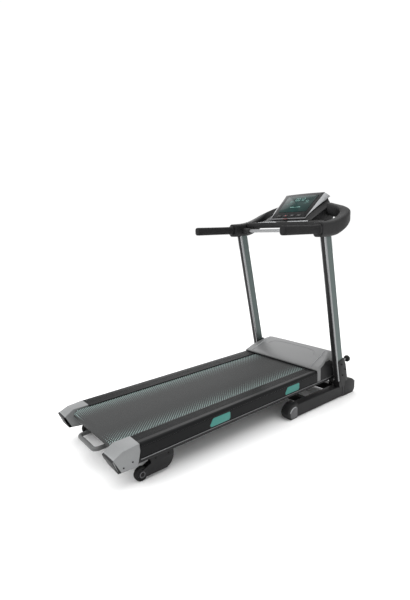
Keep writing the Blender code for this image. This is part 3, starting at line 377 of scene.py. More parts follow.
@dataclass(frozen=True)
class BrushedMetal:
    """Anodised or brushed metal, its hairlines along one direction."""

    name: str
    colour: Colour
    stretch: Point
    roughness: float = 0.34
    metallic: float = 0.9

    def build(self) -> bpy.types.Material:
        """Make the material."""
        graph = Graph(self.name)
        lines = graph.noise(900.0, 2.0, 0.5, self.stretch)
        haze = graph.noise(5.0, 4.0, 0.5)
        return graph.dress(
            base_color=graph.tones(self.colour, 0.10, lines * 0.7 + haze * 0.3),
            roughness=self.roughness - 0.07 + lines * 0.10 + haze * 0.06,
            metallic=self.metallic,
            normal=graph.bump(lines, 0.00002),
        )


@dataclass(frozen=True)
class RunningBelt:
    """Running belt: dark rubberised weave with pale dots that shrink and fade away from both edges."""

    name: str
    colour: Colour
    dots: Colour
    pitch: float = 0.0160
    fade_from: float = 0.085
    weave: float = 0.0024

    def build(self) -> bpy.types.Material:
        """Make the material."""
        graph = Graph(self.name)
        x, y, _ = graph.xyz()
        edge = ((abs(x) - self.fade_from) / (BELT_HALF - self.fade_from)).clamp()
        first = ((x + y) / self.pitch).fract() - 0.5
        second = ((x - y) / self.pitch).fract() - 0.5
        away = (first * first + second * second).root()
        dot = ((edge * 0.30 + 0.05 - away) * 12.0).clamp() * (edge > 0.02)
        wear = graph.noise(3.5, 5.0, 0.6, (2.2, 0.6, 1.0))
        threads = ((x + y) * (2 * pi / self.weave)).sine() * ((x - y) * (2 * pi / self.weave)).sine()
        ground = graph.tones(self.colour, 0.12, wear)
        return graph.dress(
            base_color=graph.mix(dot * (0.35 + edge * 0.65), ground, self.dots),
            roughness=0.62 + wear * 0.12 - dot * 0.08,
            specular_ior_level=0.12,
            normal=graph.bump(threads * 0.5 + 0.5 + dot * 0.6, 0.00018),
        )


@dataclass(frozen=True)
class Foam:
    """Closed-cell foam sleeve: pores of two sizes and a dull, slightly shiny skin."""

    name: str
    colour: Colour

    def build(self) -> bpy.types.Material:
        """Make the material."""
        graph = Graph(self.name)
        pores = graph.cells(1100.0)
        coarse = graph.noise(260.0, 3.0)
        worn = graph.noise(14.0, 4.0)
        return graph.dress(
            base_color=graph.tones(self.colour, 0.3, worn),
            roughness=0.66 + coarse * 0.16 - worn * 0.1,
            specular_ior_level=0.2,
            normal=graph.bump(pores, 0.00022, graph.bump(coarse, 0.00025)),
        )


@dataclass(frozen=True)
class Gloss:
    """Polished plastic or glass, with faint finger smears and fine dust."""

    name: str
    colour: Colour
    roughness: float = 0.10
    coat: float = 0.0
    specular: float = 0.25

    def build(self) -> bpy.types.Material:
        """Make the material."""
        graph = Graph(self.name)
        smears = graph.noise(30.0, 5.0, 0.6, (1.0, 0.35, 0.35))
        dust = graph.cells(420.0)
        return graph.dress(
            base_color=graph.tones(self.colour, 0.15, smears),
            roughness=self.roughness + smears * 0.14 + (dust < 0.06) * 0.2,
            coat_weight=self.coat,
            specular_ior_level=self.specular,
            normal=graph.bump(smears, 0.00001),
        )


@dataclass(frozen=True)
class DisplayGlass:
    """The display's dark teal window with a painted glow that lightens its middle, and a fine dot grid behind
    it.
    """

    name: str
    colour: Colour
    glow: Colour

    def build(self) -> bpy.types.Material:
        """Make the material."""
        graph = Graph(self.name)
        x, y, _ = graph.xyz()
        # Painted glow: the base colour lightens towards the window's middle.
        middle = (1.0 - abs(x) / 0.13).clamp()
        rows = ((x * (2 * pi / 0.004)).sine() * (y * (2 * pi / 0.003)).sine() + 1.0) * 0.5
        haze = graph.noise(26.0, 4.0)
        return graph.dress(
            base_color=graph.mix(middle * 0.5 + rows * 0.16 + haze * 0.2 - 0.1, self.colour, self.glow),
            roughness=0.10 + haze * 0.08,
            specular_ior_level=0.09,
        )


@dataclass(frozen=True)
class Lit:
    """A lit segment of the display."""

    name: str
    colour: Colour
    strength: float

    def build(self) -> bpy.types.Material:
        """Make the material."""
        graph = Graph(self.name)
        ripple = graph.noise(300.0, 1.0)
        return graph.dress(
            base_color=graph.tones(self.colour, 0.1, ripple),
            emission_color=graph.tones(self.colour, 0.1, ripple),
            emission_strength=self.strength,
            roughness=0.4,
        )


@dataclass(frozen=True)
class RibbedInsert:
    """A coloured soft plastic insert with fine slanted ribs."""

    name: str
    colour: Colour
    pitch: float = 0.005

    def build(self) -> bpy.types.Material:
        """Make the material."""
        graph = Graph(self.name)
        _, y, z = graph.xyz()
        ribs = ((y + z * 0.6) * (2 * pi / self.pitch)).sine() * 0.5 + 0.5
        dust = graph.noise(40.0, 4.0)
        return graph.dress(
            base_color=graph.tones(self.colour, 0.16, ribs * 0.5 + dust * 0.5),
            roughness=0.38 + dust * 0.14,
            normal=graph.bump(ribs, 0.00035),
        )


@dataclass(frozen=True)
class TyreRubber:
    """Dull wheel rubber, scuffed where it rolls."""

    name: str
    colour: Colour

    def build(self) -> bpy.types.Material:
        """Make the material."""
        graph = Graph(self.name)
        scuffs = graph.noise(60.0, 6.0, 0.7)
        specks = graph.cells(700.0)
        return graph.dress(
            base_color=graph.tones(self.colour, 0.45, scuffs),
            roughness=0.72 + scuffs * 0.16,
            specular_ior_level=0.2,
            normal=graph.bump(specks, 0.00010, graph.bump(scuffs, 0.00015)),
        )


@dataclass(frozen=True)
class FibreBoard:
    """The running board: dark waxed facing over pressed fibre."""

    name: str
    colour: Colour

    def build(self) -> bpy.types.Material:
        """Make the material."""
        graph = Graph(self.name)
        fibres = graph.noise(260.0, 5.0, 0.7, (1.0, 0.25, 3.0))
        blotch = graph.noise(12.0, 4.0)
        return graph.dress(
            base_color=graph.tones(self.colour, 0.4, fibres * 0.7 + blotch * 0.3),
            roughness=0.5 + fibres * 0.2,
            normal=graph.bump(fibres, 0.0001),
        )


@dataclass(frozen=True)
class SolderMask:
    """A circuit board: green mask with lighter copper runs and tinned pads."""

    name: str
    colour: Colour
    tracks: Colour
    pads: Colour

    def build(self) -> bpy.types.Material:
        """Make the material."""
        graph = Graph(self.name)
        x, y, _ = graph.xyz()
        wander = graph.noise(50.0, 1.0)
        runs = (((x * 140.0 + wander * 4.0).fract() - 0.5) * ((y * 60.0).fract() - 0.5)) > 0.06
        pads = graph.cells(240.0) < 0.22
        return graph.dress(
            base_color=graph.mix(pads, graph.mix(runs, self.colour, self.tracks), self.pads),
            roughness=0.42 - pads * 0.15,
            normal=graph.bump(runs + pads, 0.00006),
        )


class Palette:
    """Every finish of the machine, built once."""

    def __init__(self) -> None:
        """Build the materials."""
        self.black_paint = PowderCoat("black_paint", (0.009, 0.009, 0.0095)).build()
        self.grey_paint = PowderCoat("grey_paint", (0.095, 0.097, 0.097), 0.36).build()
        self.black_plastic = GrainPlastic("black_plastic", (0.0105, 0.0105, 0.011)).build()
        self.rail_plastic = GrainPlastic("rail_plastic", (0.0045, 0.0048, 0.0052), 0.36, 700.0, 0.00005,
                                         0.12).build()
        self.grey_inlay = GrainPlastic("grey_inlay", (0.10, 0.10, 0.104), 0.45).build()
        self.silver_plastic = SilverPaint("silver_plastic", (0.205, 0.21, 0.212)).build()
        self.hood_grey = SilverPaint("hood_grey", (0.150, 0.152, 0.153)).build()
        # Bright line paint: the painted highlights on the hood's left edge, the nose inlays' edges and the
        # tray's lip, and the end caps' bright lines.
        self.chrome = SilverPaint("chrome_line", (0.50, 0.51, 0.52), 0.24, 0.7).build()
        # Silver paint for the skirt trim and the bezel strips, also used for the dimmer right-hand painted
        # highlight on the hood.
        self.bright_trim = SilverPaint("bright_trim", (0.235, 0.24, 0.245), 0.32, 0.6).build()
        self.aluminium = BrushedMetal("aluminium", (0.092, 0.117, 0.113), (1.0, 1.0, 0.03), 0.42, 0.6).build()
        # Brighter brushed metal for the painted highlights down the uprights' rear corners.
        self.bright_edge = BrushedMetal("bright_edge", (0.27, 0.275, 0.28), (1.0, 1.0, 0.03), 0.24).build()
        self.steel = BrushedMetal("steel", (0.56, 0.56, 0.57), (0.05, 1.0, 1.0), 0.28, 1.0).build()
        self.crossbar = BrushedMetal("crossbar_metal", (0.28, 0.285, 0.29), (0.04, 1.0, 1.0), 0.3,
                                     0.85).build()
        self.belt = RunningBelt("belt", (0.046, 0.047, 0.047), (0.36, 0.48, 0.46)).build()
        self.foam = Foam("foam", (0.0095, 0.0095, 0.010)).build()
        self.panel = Gloss("glossy_black", (0.004, 0.0045, 0.005), 0.10, 0.0, 0.08).build()
        self.screen = DisplayGlass("screen", (0.003, 0.013, 0.012), (0.008, 0.040, 0.037)).build()
        self.lit = Lit("lit_segment", (0.14, 0.30, 0.27), 0.35).build()
        self.teal = RibbedInsert("teal_insert", (0.028, 0.20, 0.170)).build()
        self.rubber = TyreRubber("rubber", (0.012, 0.012, 0.012)).build()
        self.board = FibreBoard("board", (0.085, 0.055, 0.035)).build()
        self.circuit = SolderMask("circuit", (0.012, 0.11, 0.045), (0.03, 0.20, 0.08),
                                  (0.55, 0.55, 0.5)).build()
        self.red = Gloss("red_plastic", (0.36, 0.014, 0.014), 0.26, 0.1, 0.4).build()
        self.print = GrainPlastic("legend_print", (0.20, 0.21, 0.21), 0.5).build()


# ------------------------------------------------------------------------------------------------- meshes


def rounded(half_wide: float, half_high: float, corner: float, steps: int = 5) -> list[Pair]:
    """Points round a rectangle with round corners, anticlockwise."""
    points: list[Pair] = []
    for quarter, (sx, sy) in enumerate(((1, 1), (-1, 1), (-1, -1), (1, -1))):
        for step in range(steps + 1):
            angle = pi / 2 * (quarter + step / steps)
            points.append(
                (sx * (half_wide - corner) + corner * cos(angle),
                 sy * (half_high - corner) + corner * sin(angle))
            )
    return points


def arc(centre: Pair, radius: float, start: float, end: float, steps: int) -> list[Pair]:
    """Points along an arc, its angles in degrees."""
    angles = [radians(start + (end - start) * step / steps) for step in range(steps + 1)]
    return [(centre[0] + radius * cos(a), centre[1] + radius * sin(a)) for a in angles]


def smooth_path(points: Sequence[Point], per_span: int) -> list[Vector]:
    """Points along a Catmull-Rom curve through the given ones."""
    stops = [Vector(p) for p in (points[0], *points, points[-1])]
    found: list[Vector] = []
    for a, b, c, d in zip(stops, stops[1:], stops[2:], stops[3:]):
        for step in range(per_span):
            t = step / per_span
            bend = (2 * a - 5 * b + 4 * c - d) * t**2 + (3 * b - a - 3 * c + d) * t**3
            found.append(0.5 * (2 * b + (c - a) * t + bend))
    found.append(Vector(points[-1]))
    return found


class Shape:
    """A mesh in the making: each call adds a closed form, and publish turns them into one piece."""

    def __init__(self) -> None:
        """Start empty."""
        self.bm = bmesh.new()

    def _soften(self, verts: Iterable[bmesh.types.BMVert], width: float, segments: int,
                angle: float = 28.0) -> None:
        """Round the edges between the given vertices that are sharper than an angle in degrees."""
        if width <= 0:
            return
        self.bm.normal_update()
        own = set(verts)
        edges = {e for v in own for e in v.link_edges if e.verts[0] in own and e.verts[1] in own}
        sharp = [e for e in edges if len(e.link_faces) == 2 and e.calc_face_angle(0.0) > radians(angle)]
        if sharp:
            bmesh.ops.bevel(
                self.bm, geom=sharp, offset=width, segments=segments, profile=0.5, affect="EDGES",
                material=-1,
                clamp_overlap=True,
            )

    def block(self, low: Point, high: Point, bevel: float = 0.0, segments: int = 2) -> "Shape":
        """A box between two corners."""
        made = bmesh.ops.create_cube(self.bm, size=1.0)["verts"]
        size = Vector(high) - Vector(low)
        bmesh.ops.scale(self.bm, vec=size, verts=made)
        bmesh.ops.translate(self.bm, vec=(Vector(high) + Vector(low)) / 2, verts=made)
        self._soften(made, bevel, segments)
        return self

    def prism(
        self, outline: Sequence[Pair], axis: Axis, start: float, stop: float, bevel: float = 0.0,
        segments: int = 2,
        angle: float = 28.0,
    ) -> "Shape":
        """An outline pulled along an axis from one place to another."""
        corners = [self.bm.verts.new(axis.point(start, pair)) for pair in outline]
        face = self.bm.faces.new(corners)
        pulled = bmesh.ops.extrude_face_region(self.bm, geom=[face])["geom"]
        moved = [v for v in pulled if isinstance(v, bmesh.types.BMVert)]
        bmesh.ops.translate(self.bm, vec=Vector(axis.value) * (stop - start), verts=moved)
        self._soften(corners + moved, bevel, segments, angle)
        return self

    def turned(self, profile: Sequence[Pair], axis: Axis, centre: Point, steps: int = 48) -> "Shape":
        """A profile of (radius, along) points spun round an axis through a point."""
        points = [self.bm.verts.new((along, 0.0, radius)) for radius, along in profile]
        edges = [self.bm.edges.new(pair) for pair in zip(points, points[1:])]
        bmesh.ops.spin(
            self.bm, geom=points + edges, cent=(0, 0, 0), axis=(1, 0, 0), angle=2 * pi, steps=steps,
            use_merge=True
        )
        seen: set[bmesh.types.BMVert] = set(v for v in points if v.is_valid)
        edge_of = list(seen)
        while edge_of:
            for link in edge_of.pop().link_edges:
                for vert in link.verts:
                    if vert not in seen:
                        seen.add(vert)
                        edge_of.append(vert)
        move = Matrix.Translation(centre) @ axis.turn()
        bmesh.ops.transform(self.bm, matrix=move, verts=list(seen))
        return self

    def skin(
        self, rings: Sequence[Sequence[Any]], bevel: float = 0.0, segments: int = 2, closed: bool = False
    ) -> "Shape":
        """A skin bridged from ring to ring, its ends closed, or its last ring bridged to its first."""
        loops = []
        for ring in rings:
            verts = [self.bm.verts.new(point) for point in ring]
            edges = [self.bm.edges.new(pair) for pair in zip(verts, verts[1:] + verts[:1])]
            loops.append((verts, edges))
        pairs = list(zip(loops, loops[1:]))
        if closed:
            pairs.append((loops[-1], loops[0]))
        for (_, near), (_, far) in pairs:
            bmesh.ops.bridge_loops(self.bm, edges=near + far)
        if not closed:
            self.bm.faces.new(loops[0][0])
            self.bm.faces.new(loops[-1][0])
        self._soften([v for verts, _ in loops for v in verts], bevel, segments)
        return self

    def hull(self, points: Sequence[Any], bevel: float = 0.0, segments: int = 2) -> "Shape":
        """The tight skin round some points, its flat faces whole."""
        made = [self.bm.verts.new(point) for point in points]
        found = bmesh.ops.convex_hull(self.bm, input=made)
        spare = {v for v in found["geom_interior"] if isinstance(v, bmesh.types.BMVert)}
        bmesh.ops.delete(self.bm, geom=list(spare), context="VERTS")
        kept = [v for v in made if v.is_valid and v not in spare]
        edges = list({e for v in kept for e in v.link_edges})
        bmesh.ops.dissolve_limit(self.bm, angle_limit=radians(1.5), verts=kept, edges=edges)
        self._soften([v for v in kept if v.is_valid], bevel, segments, 8.0)
        return self

    def pipe(self, path: Sequence[Any], radius: float, sides: int = 20) -> "Shape":
        """A round bar along a path."""
        points = [Vector(p) for p in path]
        rings = []
        normal = Vector((0, 0, 1))
        for i, point in enumerate(points):
            along = (points[min(i + 1, len(points) - 1)] - points[max(i - 1, 0)]).normalized()
            normal = (normal - along * normal.dot(along)).normalized()
            across = along.cross(normal)
            turns = [2 * pi * k / sides for k in range(sides)]
            rings.append([point + (normal * cos(t) + across * sin(t)) * radius for t in turns])
        return self.skin(rings)

    def bolt(self, centre: Point, axis: Axis, radius: float, out: float = 1.0) -> "Shape":
        """A domed screw head with a hexagon recess, its flat side at the centre and its dome facing out."""
        deep = radius * 0.35
        profile = [(0.0, 0.0), (radius, 0.0), (radius, radius * 0.30), (radius * 0.86, radius * 0.58),
                   (radius * 0.52, radius * 0.72), (radius * 0.48, deep), (0.0, deep)]
        return self.turned([(r, a * out) for r, a in profile], axis, centre, 18)

    def spun_copies(self, count: int, axis: Axis, centre: Point) -> "Shape":
        """Copies of all that is here, evenly round an axis."""
        whole = self.bm.verts[:] + self.bm.edges[:] + self.bm.faces[:]
        bmesh.ops.spin(
            self.bm, geom=whole, cent=centre, axis=axis.value, angle=2 * pi * (count - 1) / count,
            steps=count - 1,
            use_duplicate=True,
        )
        return self

    def move(self, matrix: Matrix) -> "Shape":
        """Carry everything so far by a matrix."""
        bmesh.ops.transform(self.bm, matrix=matrix, verts=self.bm.verts)
        return self

    def mirrored(self, side: Side) -> "Shape":
        """Flip to the left where the side is the left; shapes are drawn for the right."""
        if side is Side.LEFT:
            bmesh.ops.scale(self.bm, vec=(-1, 1, 1), verts=self.bm.verts)
            bmesh.ops.reverse_faces(self.bm, faces=self.bm.faces)
        return self

    def _lend(self, name: str) -> bpy.types.Object:
        """A passing object that holds this shape."""
        bmesh.ops.remove_doubles(self.bm, verts=self.bm.verts, dist=1e-6)
        bmesh.ops.recalc_face_normals(self.bm, faces=self.bm.faces)
        mesh = bpy.data.meshes.new(name)
        self.bm.to_mesh(mesh)
        lent = bpy.data.objects.new(name, mesh)
        bpy.context.scene.collection.objects.link(lent)
        return lent

    def carve(self, cutter: "Shape", operation: str = "DIFFERENCE") -> "Shape":
        """Take another shape out of this one, or weld it on."""
        body, tool = self._lend("carve_body"), cutter._lend("carve_tool")
        change = body.modifiers.new("carve", "BOOLEAN")
        change.operation = operation
        change.solver = "EXACT"
        change.object = tool
        bpy.context.view_layer.update()
        ready = body.evaluated_get(bpy.context.evaluated_depsgraph_get())
        result = bpy.data.meshes.new_from_object(ready)
        self.bm.free()
        cutter.bm.free()
        self.bm = bmesh.new()
        self.bm.from_mesh(result)
        for passing in (body, tool):
            mesh = passing.data
            bpy.data.objects.remove(passing)
            bpy.data.meshes.remove(mesh)
        bpy.data.meshes.remove(result)
        return self

    def publish(
        self, name: str, material: bpy.types.Material, body: str, slot: str, replaces: Sequence[str] = (),
        smooth: float = 32.0,
    ) -> bpy.types.Object:
        """Make the piece: one object at the origin, riding on a body.

        Args:
            name: The piece's name.
            material: Its finish.
            body: The frame's body that it rides on.
            slot: Not used.
            replaces: The frame's nodes that it stands for.
            smooth: Edges under this angle, in degrees, are shaded smooth.

        Returns:
            The piece.
        """
        bmesh.ops.remove_doubles(self.bm, verts=self.bm.verts, dist=1e-6)
        bmesh.ops.dissolve_degenerate(self.bm, edges=self.bm.edges, dist=1e-7)
        bmesh.ops.recalc_face_normals(self.bm, faces=self.bm.faces)
        mesh = bpy.data.meshes.new(name)
        self.bm.to_mesh(mesh)
        self.bm.free()
        mesh.materials.append(material)
        mesh.shade_smooth()
        mesh.set_sharp_from_angle(angle=radians(smooth))
        piece = bpy.data.objects.new(name, mesh)
        bpy.context.scene.collection.objects.link(piece)
        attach(piece, body)
        if replaces:
            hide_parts(*replaces)
        return piece


# --------------------------------------------------------------------------------------------------- deck


@dataclass
class FootRail:
    """A foot rail: a ridged top with a crowned edge, a skirt, two teal inserts and a silver trim strip."""

    palette: Palette
    side: Side
    ridges: Pair = (0.2370, 0.2990)
    ridge_pitch: float = 0.0078
    ridge_depth: float = 0.0015
    inserts: tuple[Pair, Pair] = ((-0.356, -0.218), (0.221, 0.350))
    insert_heights: Pair = (-0.064, -0.021)
    trim_runs: tuple[Pair, Pair] = ((-0.7575, -0.0485), (-0.0455, 0.672))

    def top(self) -> list[Pair]:
        """The ridged top and crown, from the inner lip outwards."""
        points: list[Pair] = [(RAIL_INNER, -0.0055), (RAIL_INNER, -0.0020), (RAIL_INNER + 0.0035, 0.0)]
        count = int((self.ridges[1] - self.ridges[0]) / self.ridge_pitch)
        for i in range(count):
            x = self.ridges[0] + i * self.ridge_pitch
            deep = -self.ridge_depth
            points += [(x, 0.0), (x + 0.0008, deep), (x + 0.0026, deep), (x + 0.0034, 0.0)]
        crown = arc((DECK_HALF - 0.0140, -0.0120), 0.0140, 100, 0, 8)
        return points + crown

    def rail(self) -> None:
        """The rail itself."""
        outer = DECK_HALF
        skirt = [(outer, -0.0155), (outer - 0.0012, -0.0165), (outer - 0.0012, -0.0175), (outer, -0.0185),
                 (outer, -0.0672), (outer - 0.0012, -0.0678), (outer - 0.0012, -0.0688), (outer, -0.0694),
                 (outer, -SKIRT_DEPTH + 0.001), (outer - 0.001, -SKIRT_DEPTH), (outer - 0.0025, -SKIRT_DEPTH)]
        under = [(outer - 0.0025, -0.0083), (RAIL_INNER + 0.010, -0.0083), (RAIL_INNER + 0.010, -0.0055)]
        Shape().prism(self.top() + skirt + under, Axis.Y, RAIL_REAR + GAP, HOOD_REAR - GAP).mirrored(
            self.side
        ).move(DECK).publish(
            f"foot_rail_{self.side.label}_moulding", self.palette.rail_plastic, "deck", "black_plastic",
            (f"foot_rail_{self.side.label}",), smooth=40,
        )

    def insert_outline(self, run: Pair, grow: float) -> list[Pair]:
        """A parallelogram on the skirt, slanted at its rear end, with its corners cut."""
        rear, front = run
        low, high = self.insert_heights
        return [
            (rear - grow, low + 0.012), (rear + 0.006 - grow, low - grow), (front - 0.010, low - grow),
            (front + grow, low + 0.010), (front + grow, high - 0.006), (front - 0.004, high + grow),
            (rear + 0.030 - grow, high + grow), (rear + 0.020 - grow, high - 0.002),
        ]

    def teal_inserts(self) -> None:
        """The two teal inserts, each in a raised black frame."""
        frames, fills = Shape(), Shape()
        for run in self.inserts:
            frames.prism(self.insert_outline(run, 0.005), Axis.X, DECK_HALF - 0.001, DECK_HALF + 0.0009,
                         0.0004, 1)
            fills.prism(self.insert_outline(run, 0.0), Axis.X, DECK_HALF, DECK_HALF + 0.0020, 0.0007, 2)
        label = self.side.label
        frames.mirrored(self.side).move(DECK).publish(
            f"insert_frames_{label}", self.palette.black_plastic, "deck", "black_plastic"
        )
        fills.mirrored(self.side).move(DECK).publish(
            f"teal_inserts_{label}", self.palette.teal, "deck", "black_plastic"
        )

    def trim(self) -> None:
        """The silver strip along the skirt's lower edge, in two lengths."""
        shape = Shape()
        for rear, front in self.trim_runs:
            outline = [(DECK_HALF - 0.0030, -0.0762), (DECK_HALF + 0.0002, -0.0762),
                       (DECK_HALF + 0.0008, -0.0748),
                       (DECK_HALF + 0.0002, -0.0734), (DECK_HALF - 0.0030, -0.0734)]
            shape.prism(outline, Axis.Y, rear, front, 0.0004, 1)
        shape.mirrored(self.side).move(DECK).publish(
            f"skirt_trim_{self.side.label}", self.palette.bright_trim, "deck", "silver_plastic"
        )

    def screws(self) -> None:
        """Screw heads along the rail's lower skirt."""
        shape = Shape()
        for y in (-0.700, -0.430, -0.130, 0.130, 0.460):
            shape.bolt((DECK_HALF - 0.0004, y, -0.0640), Axis.X, 0.0036)
        shape.mirrored(self.side).move(DECK).publish(
            f"rail_screws_{self.side.label}", self.palette.black_paint, "deck", "black_paint"
        )

    def build(self) -> None:
        """Every piece of the rail."""
        self.rail()
        self.teal_inserts()
        self.trim()
        self.screws()


@dataclass
class EndCap:
    """A faceted grey corner over a rail's rear end, with a dark band over its rear edge."""

    palette: Palette
    side: Side
    inner: float = 0.2310
    band: float = 0.0085

    def corners(self) -> list[Point]:
        """The facets' corners in the level deck's frame, drawn for the right."""
        inner, outer = self.inner, DECK_HALF
        return [
            (inner, -0.758, 0.003), (outer - 0.004, -0.758, 0.001), (outer, -0.758, -0.034),
            (outer, -0.776, -0.104),
            (inner, -0.790, -0.104), (outer, -0.873, -0.098), (outer, -0.8990, -0.0315),
            (inner, -0.8965, -0.046),
            (inner, -0.9012, -0.032), (inner, -0.880, -0.016), (inner, -0.845, 0.004),
            (outer - 0.004, -0.845, -0.006),
            (inner, -0.875, -0.092),
        ]

    def hollow(self, cap: Shape) -> Shape:
        """Open the cap's inside for the board's end, the side tube and the roller's shaft."""
        cap.carve(Shape().block((0.2200, -0.7810, -0.1140), (0.2830, -0.7000, -0.0086)))
        cap.carve(Shape().block((0.2810, -0.7910, -0.1100), (0.3209, -0.7000, -0.0080)))
        shaft = [(0, -0.030), (0.0086, -0.030), (0.0086, 0.030), (0, 0.030)]
        return cap.carve(Shape().turned(shaft, Axis.X, (0.2400, -0.818, -0.0339), 24))

    def build(self) -> None:
        """The cap, its band, its bright line and its screws."""
        label = self.side.label
        cap = self.hollow(Shape().hull(self.corners(), 0.0022, 3))
        cap.mirrored(self.side).move(DECK).publish(
            f"end_cap_{label}_shell", self.palette.silver_plastic, "deck", "silver_plastic",
            (f"end_cap_{label}",),
            smooth=20,
        )
        out = Vector((0.0, -0.90, -0.44)).normalized()
        turn = out.to_track_quat("Z", "X").to_matrix().to_4x4()
        reach = Matrix.Translation(Vector((0.28, -0.8995, -0.0310)) - out * self.band) @ turn
        grown = [(x, y - 0.0007, z) for x, y, z in self.corners()]
        half_space = Shape().block((-0.2, -0.2, 0.0), (0.2, 0.2, 0.1)).move(reach)
        Shape().hull(grown, 0.0022, 3).carve(half_space, "INTERSECT").mirrored(self.side).move(DECK).publish(
            f"end_cap_band_{label}", self.palette.black_plastic, "deck", "black_plastic", smooth=20
        )
        line = [(self.inner + 0.002, -0.8925, -0.0262), (DECK_HALF - 0.002, -0.8905, -0.0262)]
        Shape().pipe(line, 0.0012, 10).mirrored(self.side).move(DECK).publish(
            f"end_cap_line_{label}", self.palette.chrome, "deck", "silver_plastic"
        )
        screws = Shape().bolt((DECK_HALF - 0.0006, -0.800, -0.070), Axis.X, 0.0038)
        screws.bolt((DECK_HALF - 0.0006, -0.846, -0.080), Axis.X, 0.0038)
        screws.mirrored(self.side).move(DECK).publish(
            f"end_cap_screws_{label}", self.palette.black_paint, "deck", "black_paint"
        )


@dataclass
class Belt:
    """The running belt, a closed band round both rollers."""

    palette: Palette
    rear: float = -0.818
    front: float = 0.590
    centre_z: float = -0.0339
    thickness: float = 0.0016
    inner_radius: float = 0.0253

    def outline(self, radius: float, x: float) -> list[Point]:
        """The band's line at one side."""
        pairs = arc((self.front, self.centre_z), radius, 90, -90, 20)
        pairs += arc((self.rear, self.centre_z), radius, -90, -270, 20)
        return [(x, y, z) for y, z in pairs]

    def build(self) -> None:
        """The band."""
        outer = self.inner_radius + self.thickness
        edge = 0.0005
        rings = [
            self.outline(self.inner_radius, -BELT_HALF), self.outline(outer - edge, -BELT_HALF),
            self.outline(outer, -BELT_HALF + edge), self.outline(outer, BELT_HALF - edge),
            self.outline(outer - edge, BELT_HALF), self.outline(self.inner_radius, BELT_HALF),
        ]
        Shape().skin(rings, closed=True).move(DECK).publish(
            "belt_band", self.palette.belt, "deck", "belt", ("running_belt",), smooth=50
        )


@dataclass
class LiftHandle:
    """The round-bar loop under the deck's rear edge, with a weld collar at each end."""

    palette: Palette
    half: float = 0.094
    rear: float = -0.8786
    front: float = -0.7713
    bend: float = 0.024
    height: float = -0.0804
    radius: float = 0.011

    def build(self) -> None:
        """The bar and its weld collars."""
        path: list[Point] = [(-self.half, self.front, self.height)]
        for y, x in arc((self.rear + self.bend, -self.half + self.bend), self.bend, -90, -180, 10):
            path.append((x, y, self.height))
        for y, x in arc((self.rear + self.bend, self.half - self.bend), self.bend, 180, 90, 10):
            path.append((x, y, self.height))
        path.append((self.half, self.front, self.height))
        Shape().pipe(path, self.radius, 28).move(DECK).publish(
            "lift_handle", self.palette.grey_paint, "deck", "grey_paint", ("rear_handle",)
        )
        plates = Shape()
        for x in (-self.half, self.half):
            plates.turned([(0.0112, 0.0), (0.0155, 0.0), (0.0145, -0.0030), (0.0112, -0.0034), (0.0112, 0.0)],
                          Axis.Y, (x, self.front + 0.001, self.height), 28)
        plates.move(DECK).publish("handle_welds", self.palette.black_paint, "deck", "black_paint")


